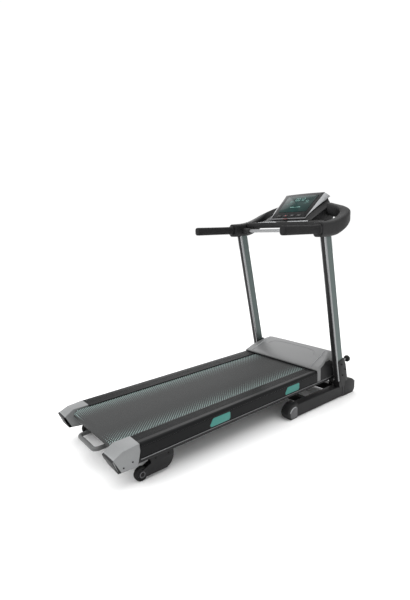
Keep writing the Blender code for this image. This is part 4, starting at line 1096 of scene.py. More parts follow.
@dataclass
class SupportWheel:
    """A rear wheel in its D-shaped steel bracket under the deck."""

    palette: Palette
    side: Side
    centre_x: float = 0.296
    centre_y: float = -0.7466
    radius: float = 0.034
    half: float = 0.0115
    plate: float = 0.0030

    def bracket_outline(self, shrink: float = 0.0) -> list[Pair]:
        """The bracket's side view: a flat top, a round front and an arm that ends round the axle."""
        top = RAIL_TOP_Z - DECK_RISE * 0.640 - 0.0940 - 0.0016
        outline = [(-0.572 - shrink, top), (-0.572 - shrink, 0.080)]
        outline += arc((-0.640, 0.080), 0.068 - shrink, 0, -66, 12)
        outline += arc((self.centre_y, self.radius), 0.019 - shrink, -80, -250, 14)
        return outline + [(-0.699 + shrink, 0.072), (-0.699 + shrink, top)]

    def bracket(self) -> None:
        """Two pressed plates, the web between them, the hub rings and the bolts."""
        label = self.side.label
        reach = self.half + 0.0045
        shape = Shape()
        for low, high in ((-reach, -reach + self.plate), (reach - self.plate, reach)):
            shape.prism(self.bracket_outline(), Axis.X, self.centre_x + low, self.centre_x + high, 0.0009, 2,
                        40)
        web = Shape().prism(self.bracket_outline(0.006), Axis.X, self.centre_x - reach + 0.0026,
                            self.centre_x + reach - 0.0026)
        room = Shape().turned([(0, -0.03), (0.0380, -0.03), (0.0380, 0.03), (0, 0.03)], Axis.X,
                              (self.centre_x, self.centre_y, self.radius), 48)
        web.carve(room).mirrored(self.side).publish(
            f"bracket_web_{label}", self.palette.black_paint, "deck", "black_paint"
        )
        shape.mirrored(self.side).publish(
            f"bracket_plates_{label}", self.palette.black_paint, "deck", "black_paint",
            (f"wheel_bracket_{label}",)
        )
        rings, nuts = Shape(), Shape()
        for sign in (-1, 1):
            face = (self.centre_x + sign * reach, self.centre_y, self.radius)
            ring = [(0.0105, 0.0), (0.0150, 0.0), (0.0142, 0.0016 * sign), (0.0115, 0.0018 * sign),
                    (0.0105, 0.0012 * sign), (0.0105, 0.0)]
            rings.turned(ring, Axis.X, face, 36)
            nuts.bolt(face, Axis.X, 0.0078, sign)
            nuts.bolt((self.centre_x + sign * reach, -0.600, 0.088), Axis.X, 0.0050, sign)
            nuts.bolt((self.centre_x + sign * reach, -0.672, 0.088), Axis.X, 0.0050, sign)
        rings.mirrored(self.side).publish(f"hub_rings_{label}", self.palette.grey_inlay, "deck",
                                          "black_plastic")
        nuts.mirrored(self.side).publish(f"bracket_bolts_{label}", self.palette.black_paint, "deck", "steel")

    def wheel(self) -> None:
        """The grooved tyre and its spoked hub."""
        label = self.side.label
        centre = (self.centre_x, self.centre_y, self.radius)
        tyre = [(0.0225, -self.half), (0.0305, -self.half), (0.0333, -self.half + 0.0020),
                (self.radius, -self.half + 0.0045)]
        for groove in (-0.0045, 0.0, 0.0045):
            tyre += [(self.radius, groove - 0.0010), (self.radius - 0.0012, groove - 0.0006),
                     (self.radius - 0.0012, groove + 0.0006), (self.radius, groove + 0.0010)]
        tyre += [(self.radius, self.half - 0.0045), (0.0333, self.half - 0.0020), (0.0305, self.half),
                 (0.0225, self.half), (0.0225, -self.half)]
        Shape().turned(tyre, Axis.X, centre, 56).mirrored(self.side).publish(
            f"wheel_tyre_{label}", self.palette.rubber, f"support_wheel_{label}", "rubber",
            (f"support_wheel_{label}",),
        )
        hub = Shape().turned([(0, -0.0150), (0.0052, -0.0150), (0.0052, -0.0105), (0.0095, -0.0105),
                              (0.0095, -0.0030), (0.0224, -0.0030), (0.0224, 0.0030), (0.0095, 0.0030),
                              (0.0095, 0.0105), (0.0052, 0.0105), (0.0052, 0.0150), (0, 0.0150)],
                             Axis.X, centre, 40)
        hub.mirrored(self.side).publish(
            f"wheel_hub_{label}", self.palette.grey_inlay, f"support_wheel_{label}", "black_plastic"
        )
        spokes = Shape().block((self.centre_x - 0.0085, self.centre_y - 0.0012, self.radius + 0.0090),
                               (self.centre_x + 0.0085, self.centre_y + 0.0012, self.radius + 0.0228), 0.0004,
                               1)
        spokes.spun_copies(6, Axis.X, centre).mirrored(self.side).publish(
            f"wheel_spokes_{label}", self.palette.grey_inlay, f"support_wheel_{label}", "black_plastic"
        )

    def build(self) -> None:
        """The bracket and the wheel."""
        self.bracket()
        self.wheel()


@dataclass
class MotorHood:
    """The silver-grey hood over the motor, with black cheeks, a curved groove, louvres and its fittings."""

    palette: Palette
    wall: float = 0.0025
    knee: float = -0.006
    foot: float = -0.070
    stations: tuple[tuple[float, float, float, float], ...] = (
        (0.534, 0.3250, 0.0120, 0.3250), (0.567, 0.3240, 0.0245, 0.3250), (0.600, 0.3220, 0.0370, 0.3250),
        (0.640, 0.3110, 0.0515, 0.3250), (0.680, 0.2980, 0.0655, 0.3250), (0.715, 0.2830, 0.0768, 0.3250),
        (0.732, 0.2760, 0.0805, 0.3250), (0.742, 0.2740, 0.0800, 0.3250), (0.770, 0.2720, 0.0720, 0.3250),
        (0.794, 0.2710, 0.0515, 0.3230), (0.808, 0.2700, 0.0300, 0.3200),
    )
    inlet_x: float = -0.215
    switch_x: float = -0.150
    fitting_z: float = -0.038

    def roof_height(self, y: float) -> float:
        """The roof's height at a distance along the deck."""
        for (y0, _, z0, _), (y1, _, z1, _) in zip(self.stations, self.stations[1:]):
            if y0 <= y <= y1:
                return z0 + (z1 - z0) * (y - y0) / (y1 - y0)
        return self.stations[-1][2]

    def rings(self, inset: float, low: float) -> list[list[Point]]:
        """Sections across the hood, drawn in by an inset."""
        found = []
        last = len(self.stations) - 1
        for i, (y, roof_half, roof, foot_half) in enumerate(self.stations):
            along = y + (inset if i == 0 else 0.0) - (inset if i == last else 0.0)
            eave = roof - inset - 0.006
            half = [(foot_half - inset, low), (foot_half - inset, self.knee), (roof_half - inset, eave),
                    (roof_half - inset - 0.012, roof - inset), (roof_half * 0.5, roof - inset + 0.001)]
            found.append([(x, along, z) for x, z in half] + [(-x, along, z) for x, z in reversed(half)])
        return found

    def fitting(self, x: float, half_x: float, half_z: float, rear: float, front: float,
                bevel: float = 0.0) -> Shape:
        """A block through the front wall."""
        return Shape().block((x - half_x, HOOD_FRONT + rear, self.fitting_z - half_z),
                             (x + half_x, HOOD_FRONT + front, self.fitting_z + half_z), bevel, 2)

    def shell(self) -> None:
        """The hood itself."""
        shell = Shape().skin(self.rings(0.0, self.foot), 0.0016, 2)
        shell.carve(Shape().skin(self.rings(self.wall, -0.100)))
        shell.carve(Shape().block((-0.3219, 0.400, -0.200), (0.3219, 0.560, 0.0030)))
        route = [(-0.205, 0.655), (-0.180, 0.688), (-0.120, 0.701), (0.0, 0.705), (0.120, 0.701),
                 (0.180, 0.688),
                 (0.205, 0.655)]
        groove = [(p.x, p.y, self.roof_height(p.y) + 0.0012) for p in
                  smooth_path([(x, y, 0.0) for x, y in route], 6)]
        shell.carve(Shape().pipe(groove, 0.0022, 10))
        slots = Shape()
        for i in range(9):
            x = 0.020 + i * 0.022
            slots.block((x, HOOD_FRONT - 0.030, -0.045), (x + 0.007, HOOD_FRONT + 0.020, 0.006))
        for sign in (-1, 1):
            low, high = sorted((sign * 0.2640, sign * 0.2840))
            slots.block((low, HOOD_FRONT - 0.018, -0.1000), (high, HOOD_FRONT + 0.020, -0.0420))
        shell.carve(slots)
        for x, half_x, half_z in ((self.inlet_x, 0.0143, 0.0113), (self.switch_x, 0.0110, 0.0140)):
            shell.carve(self.fitting(x, half_x, half_z, -0.020, 0.020))
        shell.move(DECK).publish(
            "hood_shell", self.palette.hood_grey, "deck", "silver_plastic", ("motor_hood",), smooth=24
        )

    def cheek(self, side: Side) -> None:
        """The black panel over a side wall, behind the grey corner."""
        rings = []
        for y, roof_half, roof, foot_half in self.stations[1:-1]:
            eave = roof - 0.0095
            rings.append([
                (foot_half + 0.0008, y, self.foot + 0.003), (foot_half + 0.0008, y, self.knee),
                (roof_half + 0.0010, y, eave), (roof_half - 0.0015, y, eave),
                (foot_half - 0.0015, y, self.knee),
                (foot_half - 0.0015, y, self.foot + 0.003),
            ])
        Shape().skin(rings).mirrored(side).move(DECK).publish(
            f"hood_cheek_{side.label}", self.palette.black_plastic, "deck", "black_plastic", smooth=24
        )

    def crease(self, side: Side) -> None:
        """A painted highlight along the edge from the rear lip up to the roof's front corner."""
        route = [(0.262, 0.540), (0.258, 0.630), (0.246, 0.722)]
        line = [(p.x, p.y, self.roof_height(p.y) + 0.0012) for p in
                smooth_path([(x, y, 0.0) for x, y in route], 8)]
        # Painted highlight in lit and shaded copies: the left line in the brighter paint, the right in the
        # dimmer trim paint.
        finish = self.palette.chrome if side is Side.LEFT else self.palette.bright_trim
        Shape().pipe(line, 0.0017, 8).mirrored(side).move(DECK).publish(
            f"hood_crease_{side.label}", finish, "deck", "silver_plastic"
        )

    def lip(self) -> None:
        """The black rubber lip in the gap between the hood and the belt."""
        Shape().block((-0.3180, 0.5290, 0.0006), (0.3180, 0.5360, 0.0050), 0.001, 2).move(DECK).publish(
            "hood_lip", self.palette.rubber, "deck", "rubber"
        )

    def fittings(self) -> None:
        """The mains inlet with its three pins, and the rocker switch with its frame."""
        inlet = self.fitting(self.inlet_x, 0.0140, 0.0110, -0.026, 0.0015)
        inlet.carve(self.fitting(self.inlet_x, 0.0190, 0.0150, 0.0004, 0.0024, 0.0008), "UNION")
        inlet.carve(self.fitting(self.inlet_x, 0.0120, 0.0085, -0.020, 0.020))
        inlet.move(DECK).publish("inlet_housing", self.palette.black_plastic, "deck", "black_plastic",
                                 ("power_inlet",))
        pins = Shape()
        for dx, dz in ((-0.0060, -0.0015), (0.0, 0.0025), (0.0060, -0.0015)):
            x, z = self.inlet_x + dx, self.fitting_z + dz
            pins.block((x - 0.0010, HOOD_FRONT - 0.0210, z - 0.0022),
                       (x + 0.0010, HOOD_FRONT - 0.0060, z + 0.0022),
                       0.0004, 2)
        pins.move(DECK).publish("inlet_pins", self.palette.steel, "deck", "steel")
        outline = [(-0.0080, -0.0090), (-0.0080, 0.0090), (0.0015, 0.0118), (0.0017, 0.0060), (0.0020, 0.0),
                   (0.0040, -0.0060), (0.0055, -0.0110)]
        centre = Matrix.Translation((self.switch_x, HOOD_FRONT, self.fitting_z))
        Shape().prism(outline, Axis.X, -0.0095, 0.0095, 0.0006, 2).move(DECK @ centre).publish(
            "switch_rocker", self.palette.red, "power_switch", "red_plastic", ("power_switch",)
        )
        rim = self.fitting(self.switch_x, 0.0135, 0.0165, -0.0010, 0.0014, 0.0006)
        rim.carve(self.fitting(self.switch_x, 0.0108, 0.0138, -0.0200, 0.0200))
        rim.move(DECK).publish("switch_frame", self.palette.black_plastic, "deck", "black_plastic")

    def build(self) -> None:
        """Every piece of the hood."""
        self.shell()
        self.lip()
        self.fittings()
        for side in Side:
            self.cheek(side)
            self.crease(side)


# --------------------------------------------------------------------------------------------------- base


@dataclass
class FloorRail:
    """One floor tube with its rounded nose, its front cap and its transport wheel."""

    palette: Palette
    side: Side
    inner: float = 0.312
    outer: float = 0.364
    nose: Pair = (0.200, 0.290)
    nose_radius: float = 0.062
    nose_centre_back: float = 0.028
    cap: Pair = (0.760, 0.9015)
    top: float = 0.081
    lift: float = 0.004
    crown: float = 0.012
    overhang: float = 0.002

    @property
    def middle(self) -> float:
        """The rail's centre line."""
        return (self.inner + self.outer) / 2

    def tube(self) -> None:
        """The floor tube."""
        half_x, half_z = (self.outer - self.inner) / 2, (self.top - self.lift) / 2
        outline = [(self.middle + a, self.lift + half_z + b) for a, b in rounded(half_x, half_z, 0.005, 4)]
        Shape().prism(outline, Axis.Y, self.nose[1] + GAP,
                      self.cap[0] - GAP).mirrored(self.side).publish(
            f"floor_tube_{self.side.label}", self.palette.black_paint, "base", "black_paint",
            (f"base_rail_{self.side.label}",),
        )

    def nose_arc(self, shrink: float, start: float, end: float) -> list[Pair]:
        """The nose's round back, drawn in by some distance."""
        centre = (self.nose[1] - self.nose_centre_back, self.top + self.crown - self.nose_radius)
        return arc(centre, self.nose_radius - shrink, start, end, 14)

    def nose_piece(self) -> None:
        """The nose, its grey inlay and a painted highlight along the inlay's edge."""
        label = self.side.label
        low, high = self.nose
        outline = [(high, 0.0), (high, self.top + self.crown)] + self.nose_arc(0.0, 90, 168)
        outline += [(low + 0.010, 0.022), (low + 0.030, 0.0)]
        Shape().prism(outline, Axis.X, self.inner - self.overhang, self.outer + self.overhang, 0.003,
                      3).mirrored(self.side).publish(
            f"nose_cap_{label}", self.palette.black_plastic, "base", "black_plastic", (f"base_nose_{label}",)
        )
        inlay = [(high - 0.004, 0.006), (high - 0.004, self.top - 0.016)] + self.nose_arc(0.020, 76, 160)
        inlay += [(low + 0.024, 0.024), (low + 0.036, 0.006)]
        face = self.outer + self.overhang
        Shape().prism(inlay, Axis.X, face - 0.0010, face + 0.0012, 0.0006, 2).mirrored(self.side).publish(
            f"nose_inlay_{label}", self.palette.grey_inlay, "base", "black_plastic"
        )
        # Painted highlight: a bright line along the inlay's edge.
        crease = [(face + 0.0010, y, z) for y, z in self.nose_arc(0.019, 74, 160)]
        Shape().pipe(crease, 0.0019, 10).mirrored(self.side).publish(
            f"nose_crease_{label}", self.palette.chrome, "base", "silver_plastic"
        )

    def front_cap(self) -> None:
        """The front cap, hollow under for its wheel, and the lighter band at its joint."""
        label = self.side.label
        low, high = self.cap
        outline = [(low, 0.0), (low, 0.102), (low + 0.060, 0.112), (high - 0.030, 0.100), (high, 0.078),
                   (high, 0.026), (high - 0.020, 0.0)]
        cap = Shape().prism(outline, Axis.X, self.inner - self.overhang, self.outer + self.overhang, 0.004, 3)
        cap.carve(Shape().block((self.middle - 0.0155, 0.818, -0.010), (self.middle + 0.0155, 0.882, 0.063)))
        cap.mirrored(self.side).publish(
            f"front_cap_{label}", self.palette.black_plastic, "base", "black_plastic", (f"base_cap_{label}",)
        )
        seam = [(low + 0.001, 0.004), (low + 0.001, 0.0990), (low + 0.0045, 0.0996), (low + 0.0045, 0.004)]
        face = self.outer + self.overhang
        Shape().prism(seam, Axis.X, face - 0.001, face + 0.0007).mirrored(self.side).publish(
            f"cap_seam_{label}", self.palette.grey_inlay, "base", "black_plastic"
        )

    def roller(self) -> None:
        """The small transport wheel under the front cap."""
        label = self.side.label
        profile = [(0, -0.0125), (0.006, -0.0125), (0.006, -0.0095), (0.019, -0.0095), (0.020, -0.0120),
                   (0.0245, -0.0120), (0.0270, -0.0095), (0.0270, -0.0030), (0.0262, -0.0020),
                   (0.0262, 0.0020),
                   (0.0270, 0.0030), (0.0270, 0.0095), (0.0245, 0.0120), (0.020, 0.0120), (0.019, 0.0095),
                   (0.006, 0.0095), (0.006, 0.0125), (0, 0.0125)]
        Shape().turned(profile, Axis.X, (self.middle, 0.850, 0.030), 48).mirrored(self.side).publish(
            f"transport_roller_{label}", self.palette.rubber, f"transport_wheel_{label}", "rubber",
            (f"transport_wheel_{label}",),
        )

    def build(self) -> None:
        """Every piece of the rail."""
        self.tube()
        self.nose_piece()
        self.front_cap()
        self.roller()


@dataclass
class Upright:
    """One raked upright in its shoe: a satin extrusion with painted highlights down its rear corners and a
    black strip of painted shade down its rear face.
    """

    palette: Palette
    side: Side
    half_x: float = 0.019
    half_y: float = 0.033
    length: float = 0.990
    shoe_wall: float = 0.0042
    plunger: Point = (0.3566, 0.777, 0.253)

    @property
    def stand(self) -> Matrix:
        """The upright's own frame, its foot at the origin and its length along Z, on the right."""
        return Matrix.Translation((UPRIGHT_X, *UPRIGHT_FOOT)) @ Matrix.Rotation(UPRIGHT_LEAN, 4, "X")

    def section(self) -> list[Pair]:
        """The extrusion's outline, with a shallow channel down each broad face."""
        corner = rounded(self.half_x, self.half_y, 0.006, 4)
        count = len(corner) // 4
        quarters = [corner[i * count:(i + 1) * count] for i in range(4)]
        dip = self.half_x - 0.0007
        left = [(-self.half_x, 0.0235), (-dip, 0.0228), (-dip, -0.0198), (-self.half_x, -0.0205)]
        right = [(self.half_x, -0.0205), (dip, -0.0198), (dip, 0.0228), (self.half_x, 0.0235)]
        return quarters[0] + quarters[1] + left + quarters[2] + quarters[3] + right

    def post(self) -> None:
        """The extrusion, the painted highlights on its rear corners and the painted shade strip on its rear
        face.
        """
        label = self.side.label
        Shape().prism(self.section(), Axis.Z, 0.0, self.length).move(self.stand).mirrored(self.side).publish(
            f"post_{label}", self.palette.aluminium, "base", "aluminium", (f"upright_{label}",), smooth=30
        )
        # Painted highlights: brighter metal strips down both rear corners.
        edges = Shape()
        shown = (0.001, self.length - 0.006)
        for sign in (-1, 1):
            outer = self.half_x + 0.0005
            back = -self.half_y - 0.0005
            outline = [(sign * 0.0120, back), (sign * (outer - 0.005), back),
                       (sign * (outer - 0.0015), back + 0.0015),
                       (sign * outer, back + 0.005), (sign * outer, back + 0.0115),
                       (sign * (outer - 0.0012), back + 0.0115),
                       (sign * (outer - 0.0045), back + 0.0045), (sign * 0.0120, back + 0.0015)]
            edges.prism(outline, Axis.Z, *shown)
        edges.move(self.stand).mirrored(self.side).publish(
            f"post_edges_{label}", self.palette.bright_edge, "base", "aluminium", smooth=30
        )
        # Painted shade: a black strip down the rear face, where it lies in shadow.
        strip = Shape().block((-0.0116, -self.half_y - 0.0007, shown[0]),
                              (0.0116, -self.half_y + 0.001, shown[1]),
                              0.0005, 2)
        strip.move(self.stand).mirrored(self.side).publish(
            f"post_strip_{label}", self.palette.black_plastic, "base", "black_plastic"
        )

    def shoe(self) -> None:
        """The folded steel shoe with its side bolts."""
        label = self.side.label
        half_x, half_y, wall = self.half_x, self.half_y, self.shoe_wall
        outline = [(-half_y + 0.010, -0.080), (-half_y + 0.010, 0.142), (half_y + 0.010, 0.142),
                   (half_y + 0.022, 0.090), (half_y + 0.026, -0.080)]
        shoe = Shape().prism(outline, Axis.X, -half_x - wall, half_x + wall, 0.002, 2)
        foot = Shape().prism([(-half_y - 0.003, -0.080), (-half_y - 0.003, -0.001), (0.0, -0.001),
                              (0.0, -0.080)],
                             Axis.X, -half_x - wall, half_x + wall)
        shoe.carve(foot, "UNION")
        shoe.carve(Shape().block((-half_x - GAP, -half_y - 0.020, -GAP),
                                 (half_x + GAP, half_y + GAP, 0.2)))
        shoe.move(self.stand)
        shoe.carve(Shape().block((0.200, 0.400, -0.200), (0.500, 0.7595, 0.0813)))
        shoe.carve(Shape().block((0.200, 0.759, -0.200), (0.500, 1.000, 0.1135)))
        if self.side is Side.RIGHT:
            x, y, z = self.plunger
            bore = Shape().turned([(0, -0.05), (0.0045, -0.05), (0.0045, 0.05), (0, 0.05)], Axis.Y, (x, y, z),
                                  24)
            shoe.carve(bore)
        shoe.mirrored(self.side).publish(
            f"shoe_{label}", self.palette.black_paint, "base", "black_paint", (f"socket_{label}",), smooth=30
        )
        bolts = Shape()
        for sign in (-1, 1):
            for y, z in ((0.010, 0.030), (0.010, 0.110), (0.044, 0.060)):
                bolts.bolt((sign * (half_x + wall), y, z), Axis.X, 0.0062, sign)
        bolts.move(self.stand).mirrored(self.side).publish(f"shoe_bolts_{label}", self.palette.black_paint,
                                                           "base", "steel")

    def knob(self) -> None:
        """The lock's steel stem and black mushroom knob, on the right only."""
        if self.side is Side.LEFT:
            return
        stem = [(0, -0.037), (0.0036, -0.037), (0.0040, -0.036), (0.0040, 0.019), (0, 0.019)]
        Shape().turned(stem, Axis.Y, self.plunger, 28).publish(
            "plunger_stem", self.palette.steel, "lock_plunger", "steel"
        )
        head = [(0, 0.0178), (0.0078, 0.0178), (0.0120, 0.0205), (0.0190, 0.0240), (0.0215, 0.0285),
                (0.0220, 0.0335), (0.0212, 0.0380), (0.0178, 0.0425), (0.0115, 0.0455), (0.0055, 0.0464),
                (0, 0.0465)]
        knob = Shape().turned(head, Axis.Y, self.plunger, 48)
        knob.publish("plunger_knob", self.palette.black_plastic, "lock_plunger", "black_plastic",
                     ("lock_plunger",))

    def build(self) -> None:
        """Every piece of the upright."""
        self.post()
        self.shoe()
        self.knob()


# ------------------------------------------------------------------------------------- handles and console


@dataclass
class Handle:
    """A foam grip on its tube, and the moulded shoulder that carries it in to the console."""

    palette: Palette
    side: Side
    grip_x: float = 0.370
    grip_run: Pair = (0.133, 0.449)
    grip_z: float = 1.1125
    grip_half: Pair = (0.022, 0.026)
    arm_half_wide: float = 0.034
    arm_reach: float = 0.044
    spine: tuple[Point, ...] = (
        (0.3640, 0.4510, 1.1120), (0.3640, 0.5400, 1.1130), (0.3640, 0.6250, 1.1240),
        (0.3600, 0.7000, 1.1480),
        (0.3400, 0.7560, 1.1780), (0.2950, 0.7860, 1.1980), (0.2450, 0.7960, 1.2120),
        (0.2000, 0.7980, 1.2240),
    )

    def grip_ring(self, y: float, scale: float, corner: float = 0.015) -> list[Point]:
        """One section of the grip."""
        loop = rounded(self.grip_half[0] * scale, self.grip_half[1] * scale, corner * scale, 6)
        return [(self.grip_x + a, y, self.grip_z + b) for a, b in loop]

    def grip(self) -> None:
        """The foam sleeve with soft ends, and its collar against the shoulder."""
        label = self.side.label
        start, end = self.grip_run
        steps = [(0.0, 0.70), (0.0012, 0.84), (0.004, 0.94), (0.009, 0.99), (0.016, 1.0)]
        rings = [self.grip_ring(start + dy, scale) for dy, scale in steps]
        waves = 14
        for i in range(1, waves):
            y = start + 0.016 + (end - 0.012 - start - 0.016) * i / waves
            rings.append(self.grip_ring(y, 1.0 - 0.012 * sin(pi * i / waves)))
        rings += [self.grip_ring(end - 0.012, 1.0), self.grip_ring(end - 0.004, 0.985),
                  self.grip_ring(end, 0.96)]
        foam = Shape().skin(rings).mirrored(self.side).publish(
            f"foam_grip_{label}", self.palette.foam, "base", "foam", (f"grip_{label}", f"handlebar_{label}"),
            smooth=50
        )
        collar = [self.grip_ring(end - 0.016, 1.03), self.grip_ring(end - 0.014, 1.10),
                  self.grip_ring(end + 0.0035, 1.16), self.grip_ring(end + 0.0050, 1.10)]
        Shape().skin(collar, 0.0006, 2).mirrored(self.side).publish(
            f"grip_collar_{label}", self.palette.black_plastic, "base", "black_plastic"
        )

    def shoulder(self) -> None:
        """The shoulder, a smooth fat arm that curves in to the console."""
        label = self.side.label
        spine = smooth_path(self.spine, 7)
        rings = []
        last = len(spine) - 1
        for i, point in enumerate(spine):
            along = spine[min(i + 1, last)] - spine[max(i - 1, 0)]
            along.z = 0
            if i == 0:
                along = Vector((0, 1, 0))
            if i == last:
                along = Vector((-1, 0, 0))
            along.normalize()
            across = Vector((along.y, -along.x, 0))
            share = i / last
            reach_up = self.arm_reach + 0.012 * min(1.0, share * 2)
            reach_down = self.arm_reach - 0.020 * min(1.0, max(0.0, share - 0.25) * 3)
            half_high = (reach_up + reach_down) / 2
            loop = rounded(self.arm_half_wide, half_high, 0.020, 6)
            lift = reach_up - half_high
            rings.append([point + across * a + Vector((0, 0, b + lift)) for a, b in loop])
        rings.insert(0, [Vector((self.grip_x - 0.006, p.y, self.grip_z)).lerp(p, 0.94) for p in rings[0]])
        for p in rings[1]:
            p.y += 0.004
        body = Shape().skin(rings)
        body.mirrored(self.side).publish(
            f"shoulder_{label}_moulding", self.palette.black_plastic, "base", "black_plastic",
            (f"shoulder_{label}",),
            smooth=50,
        )

    def build(self) -> None:
        """The grip and the shoulder."""
        self.grip()
        self.shoulder()


@dataclass
class Console:
    """The console: housing, trays with cup wells, glossy panel, display, keys and safety key."""

    palette: Palette
    panel_foot_half: float = 0.1450
    panel_head_half: float = 0.1616
    panel_thick: float = 0.0070
    wedge_half: float = 0.1990
    wedge_inner: float = 0.1470
    wedge_fall: float = 0.0760
    tray_half: float = 0.3285
    cup: Point = (0.2650, 0.6130, 1.1660)
    keys: tuple[tuple[str, float], ...] = (
        ("key_slower", -0.084), ("key_stop", -0.028), ("key_start", 0.028), ("key_faster", 0.084)
    )
    key_half: float = 0.0160
    key_run: Pair = (0.050, 0.125)

    @property
    def sheet(self) -> Matrix:
        """The panel's own frame: X across, Y up the panel from its foot, Z off its face."""
        up = (PANEL_HEAD - PANEL_FOOT).normalized()
        across = Vector((1, 0, 0))
        off = across.cross(up)
        turn = Matrix((across, up, off)).transposed().to_4x4()
        return Matrix.Translation(PANEL_FOOT) @ turn

    def at(self, up: float, off: float) -> Pair:
        """A (y, z) point a share of the way up the panel and off it by some distance."""
        point = self.sheet @ Vector((0, up * PANEL_LENGTH, off))
        return (point.y, point.z)

    def wedge_outline(self, drop: float) -> list[Pair]:
        """The housing's side view; its head may be lower by some drop."""
        under = -self.panel_thick - GAP
        foot, head = self.at(-0.06, under), self.at(1.0, under)
        return [
            (0.5600, 1.1250), (0.5545, 1.1350), (0.5545, 1.1600), (0.5600, 1.1660), foot,
            (head[0] + drop * 0.15, head[1] - drop), (head[0] + 0.016, head[1] - 0.004 - drop),
            (0.8420, 1.2650 - drop * 0.3), (0.8500, 1.2100), (0.8350, 1.1650), (0.7900, 1.1400),
            (0.7000, 1.1280),
        ]

    def housing(self) -> None:
        """The wedge behind the panel, hollow where the board sits, with vents in its back."""
        steps = 8
        half = []
        for i in range(steps + 1):
            share = i / steps
            ease = share * share * (3 - 2 * share) * 0.5 + share * 0.5
            half.append((self.wedge_half - (self.wedge_half - self.wedge_inner) * share,
                         self.wedge_fall * (1 - ease)))
        stations = half + [(-x, drop) for x, drop in reversed(half)]
        rings = [[(x, y, z) for y, z in self.wedge_outline(drop)] for x, drop in stations]
        body = Shape().skin(rings)
        hollow = Shape().hull(
            [(x, *self.at(up, off)) for x in (-0.115,
                                              0.115) for up in (0.20, 0.88) for off in (-0.030, 0.010)]
        )
        slot = Shape().hull(
            [(x, *self.at(up, off)) for x in (-0.013,
                                              0.013) for up in (-0.118, -0.072) for off in (-0.032, 0.010)]
        )
        vents = Shape()
        for i in range(7):
            z = 1.178 + i * 0.011
            vents.block((-0.060, 0.825, z), (0.060, 0.870, z + 0.004))
        body.carve(hollow).carve(slot).carve(vents).publish(
            "console_housing", self.palette.black_plastic, "base", "black_plastic", ("console_body",),
            smooth=35,
        )

    def tray(self) -> None:
        """The tray from shoulder to shoulder, its cup wells, its liners and a painted highlight line along
        its lip.
        """
        rings = []
        for x, rear in ((-self.tray_half, 0.690), (-0.300, 0.725), (-0.260, 0.745), (-0.190, 0.755),
                        (0.190, 0.755),
                        (0.260, 0.745), (0.300, 0.725), (self.tray_half, 0.690)):
            outline = [(0.5610, 1.1260), (0.5562, 1.1330), (0.5555, 1.1460), (0.5562, 1.1590),
                       (0.5620, 1.1648),
                       (rear - 0.006, 1.1648), (rear, 1.1600), (rear, 1.1400), (rear - 0.015, 1.1300)]
            rings.append([(x, y, z) for y, z in outline])
        tray = Shape().skin(rings, 0.0012, 2)
        liners = Shape()
        for sign in (-1, 1):
            centre = (sign * self.cup[0], self.cup[1], self.cup[2])
            tray.carve(Shape().turned([(0, -0.033), (0.034, -0.033), (0.036, 0.010), (0, 0.010)], Axis.Z,
                                      centre, 56))
            rim = [(0.0352, -0.0040), (0.0352, 0.0012), (0.0372, 0.0022), (0.0398, 0.0012), (0.0400, -0.0014),
                   (0.0380, -0.0014), (0.0358, -0.0040), (0.0352, -0.0040)]
            liners.turned(rim, Axis.Z, centre, 64)
        tray.publish("console_tray", self.palette.black_plastic, "base", "black_plastic", smooth=35)
        liners.publish("cup_rims", self.palette.rubber, "base", "rubber")
        mats = Shape()
        for sign in (-1, 1):
            mats.turned([(0, -0.0330), (0.0325, -0.0330), (0.0320, -0.0315), (0, -0.0315)], Axis.Z,
                        (sign * self.cup[0], self.cup[1], self.cup[2]), 48)
        mats.publish("cup_mats", self.palette.rubber, "base", "rubber")
        # Painted highlight: bright lines along the tray's lip.
        lines = Shape()
        for sign in (-1, 1):
            low, high = sorted((sign * 0.050, sign * 0.212))
            lines.block((low, 0.5538, 1.1622), (high, 0.5600, 1.1652), 0.0008, 2)
        lines.publish("lip_lines", self.palette.chrome, "base", "silver_plastic")

    def panel_outline(self, inset: float = 0.0, foot: float = 0.0, head: float = 1.0) -> list[Pair]:
        """The panel's outline in its own frame, its top edge a shallow arc."""
        def half_at(up: float) -> float:
            """Half the panel's width a share of the way up."""
            return self.panel_foot_half + (self.panel_head_half - self.panel_foot_half) * up - inset
        low, high = foot * PANEL_LENGTH, head * PANEL_LENGTH
        drop = 0.0045
        top = [(half_at(head) * (1 - 2 * i / 12), high - drop * (1 - 2 * i / 12) ** 2) for i in range(13)]
        return [(-half_at(foot), low), (half_at(foot), low)] + top

    def panel(self) -> None:
        """The glossy panel with a pocket for each key, and the display window."""
        face = Shape().prism(self.panel_outline(), Axis.Z, -self.panel_thick, 0.0, 0.0010, 2)
        for _, x in self.keys:
            low, high = (share * PANEL_LENGTH for share in self.key_run)
            face.carve(Shape().block((x - 0.0163, low - GAP, -0.0060), (x + 0.0163, high + GAP, 0.010)))
        face.move(self.sheet).publish(
            "panel_face", self.palette.panel, "base", "glossy_black", ("console_panel",), smooth=30
        )
        window = Shape().prism(self.panel_outline(0.0320, 0.24, 0.90), Axis.Z, 0.0002, 0.0013, 0.0005, 2)
        window.move(self.sheet).publish("display_window", self.palette.screen, "base", "screen", ("display",))

    def digit(self, shape: Shape, value: str, centre: Pair, size: float) -> None:
        """One seven-bar digit on the window."""
        bars = {"0": "abcdef", "1": "bc", "2": "abged", "3": "abgcd", "4": "fgbc", "5": "afgcd",
                "8": "abcdefg"}
        wide, high, thick = size * 0.5, size, size * 0.11
        x, y = centre
        places = {
            "a": (x, y + high / 2, True), "g": (x, y, True), "d": (x, y - high / 2, True),
            "b": (x + wide / 2, y + high / 4, False), "c": (x + wide / 2, y - high / 4, False),
            "f": (x - wide / 2, y + high / 4, False), "e": (x - wide / 2, y - high / 4, False),
        }
        for bar in bars[value]:
            bx, by, flat = places[bar]
            long = (wide if flat else high / 2) / 2 - thick * 0.6
            dx, dy = (long, thick / 2) if flat else (thick / 2, long)
            shape.block((bx - dx, by - dy, 0.0012), (bx + dx, by + dy, 0.0017), 0.0002, 1)

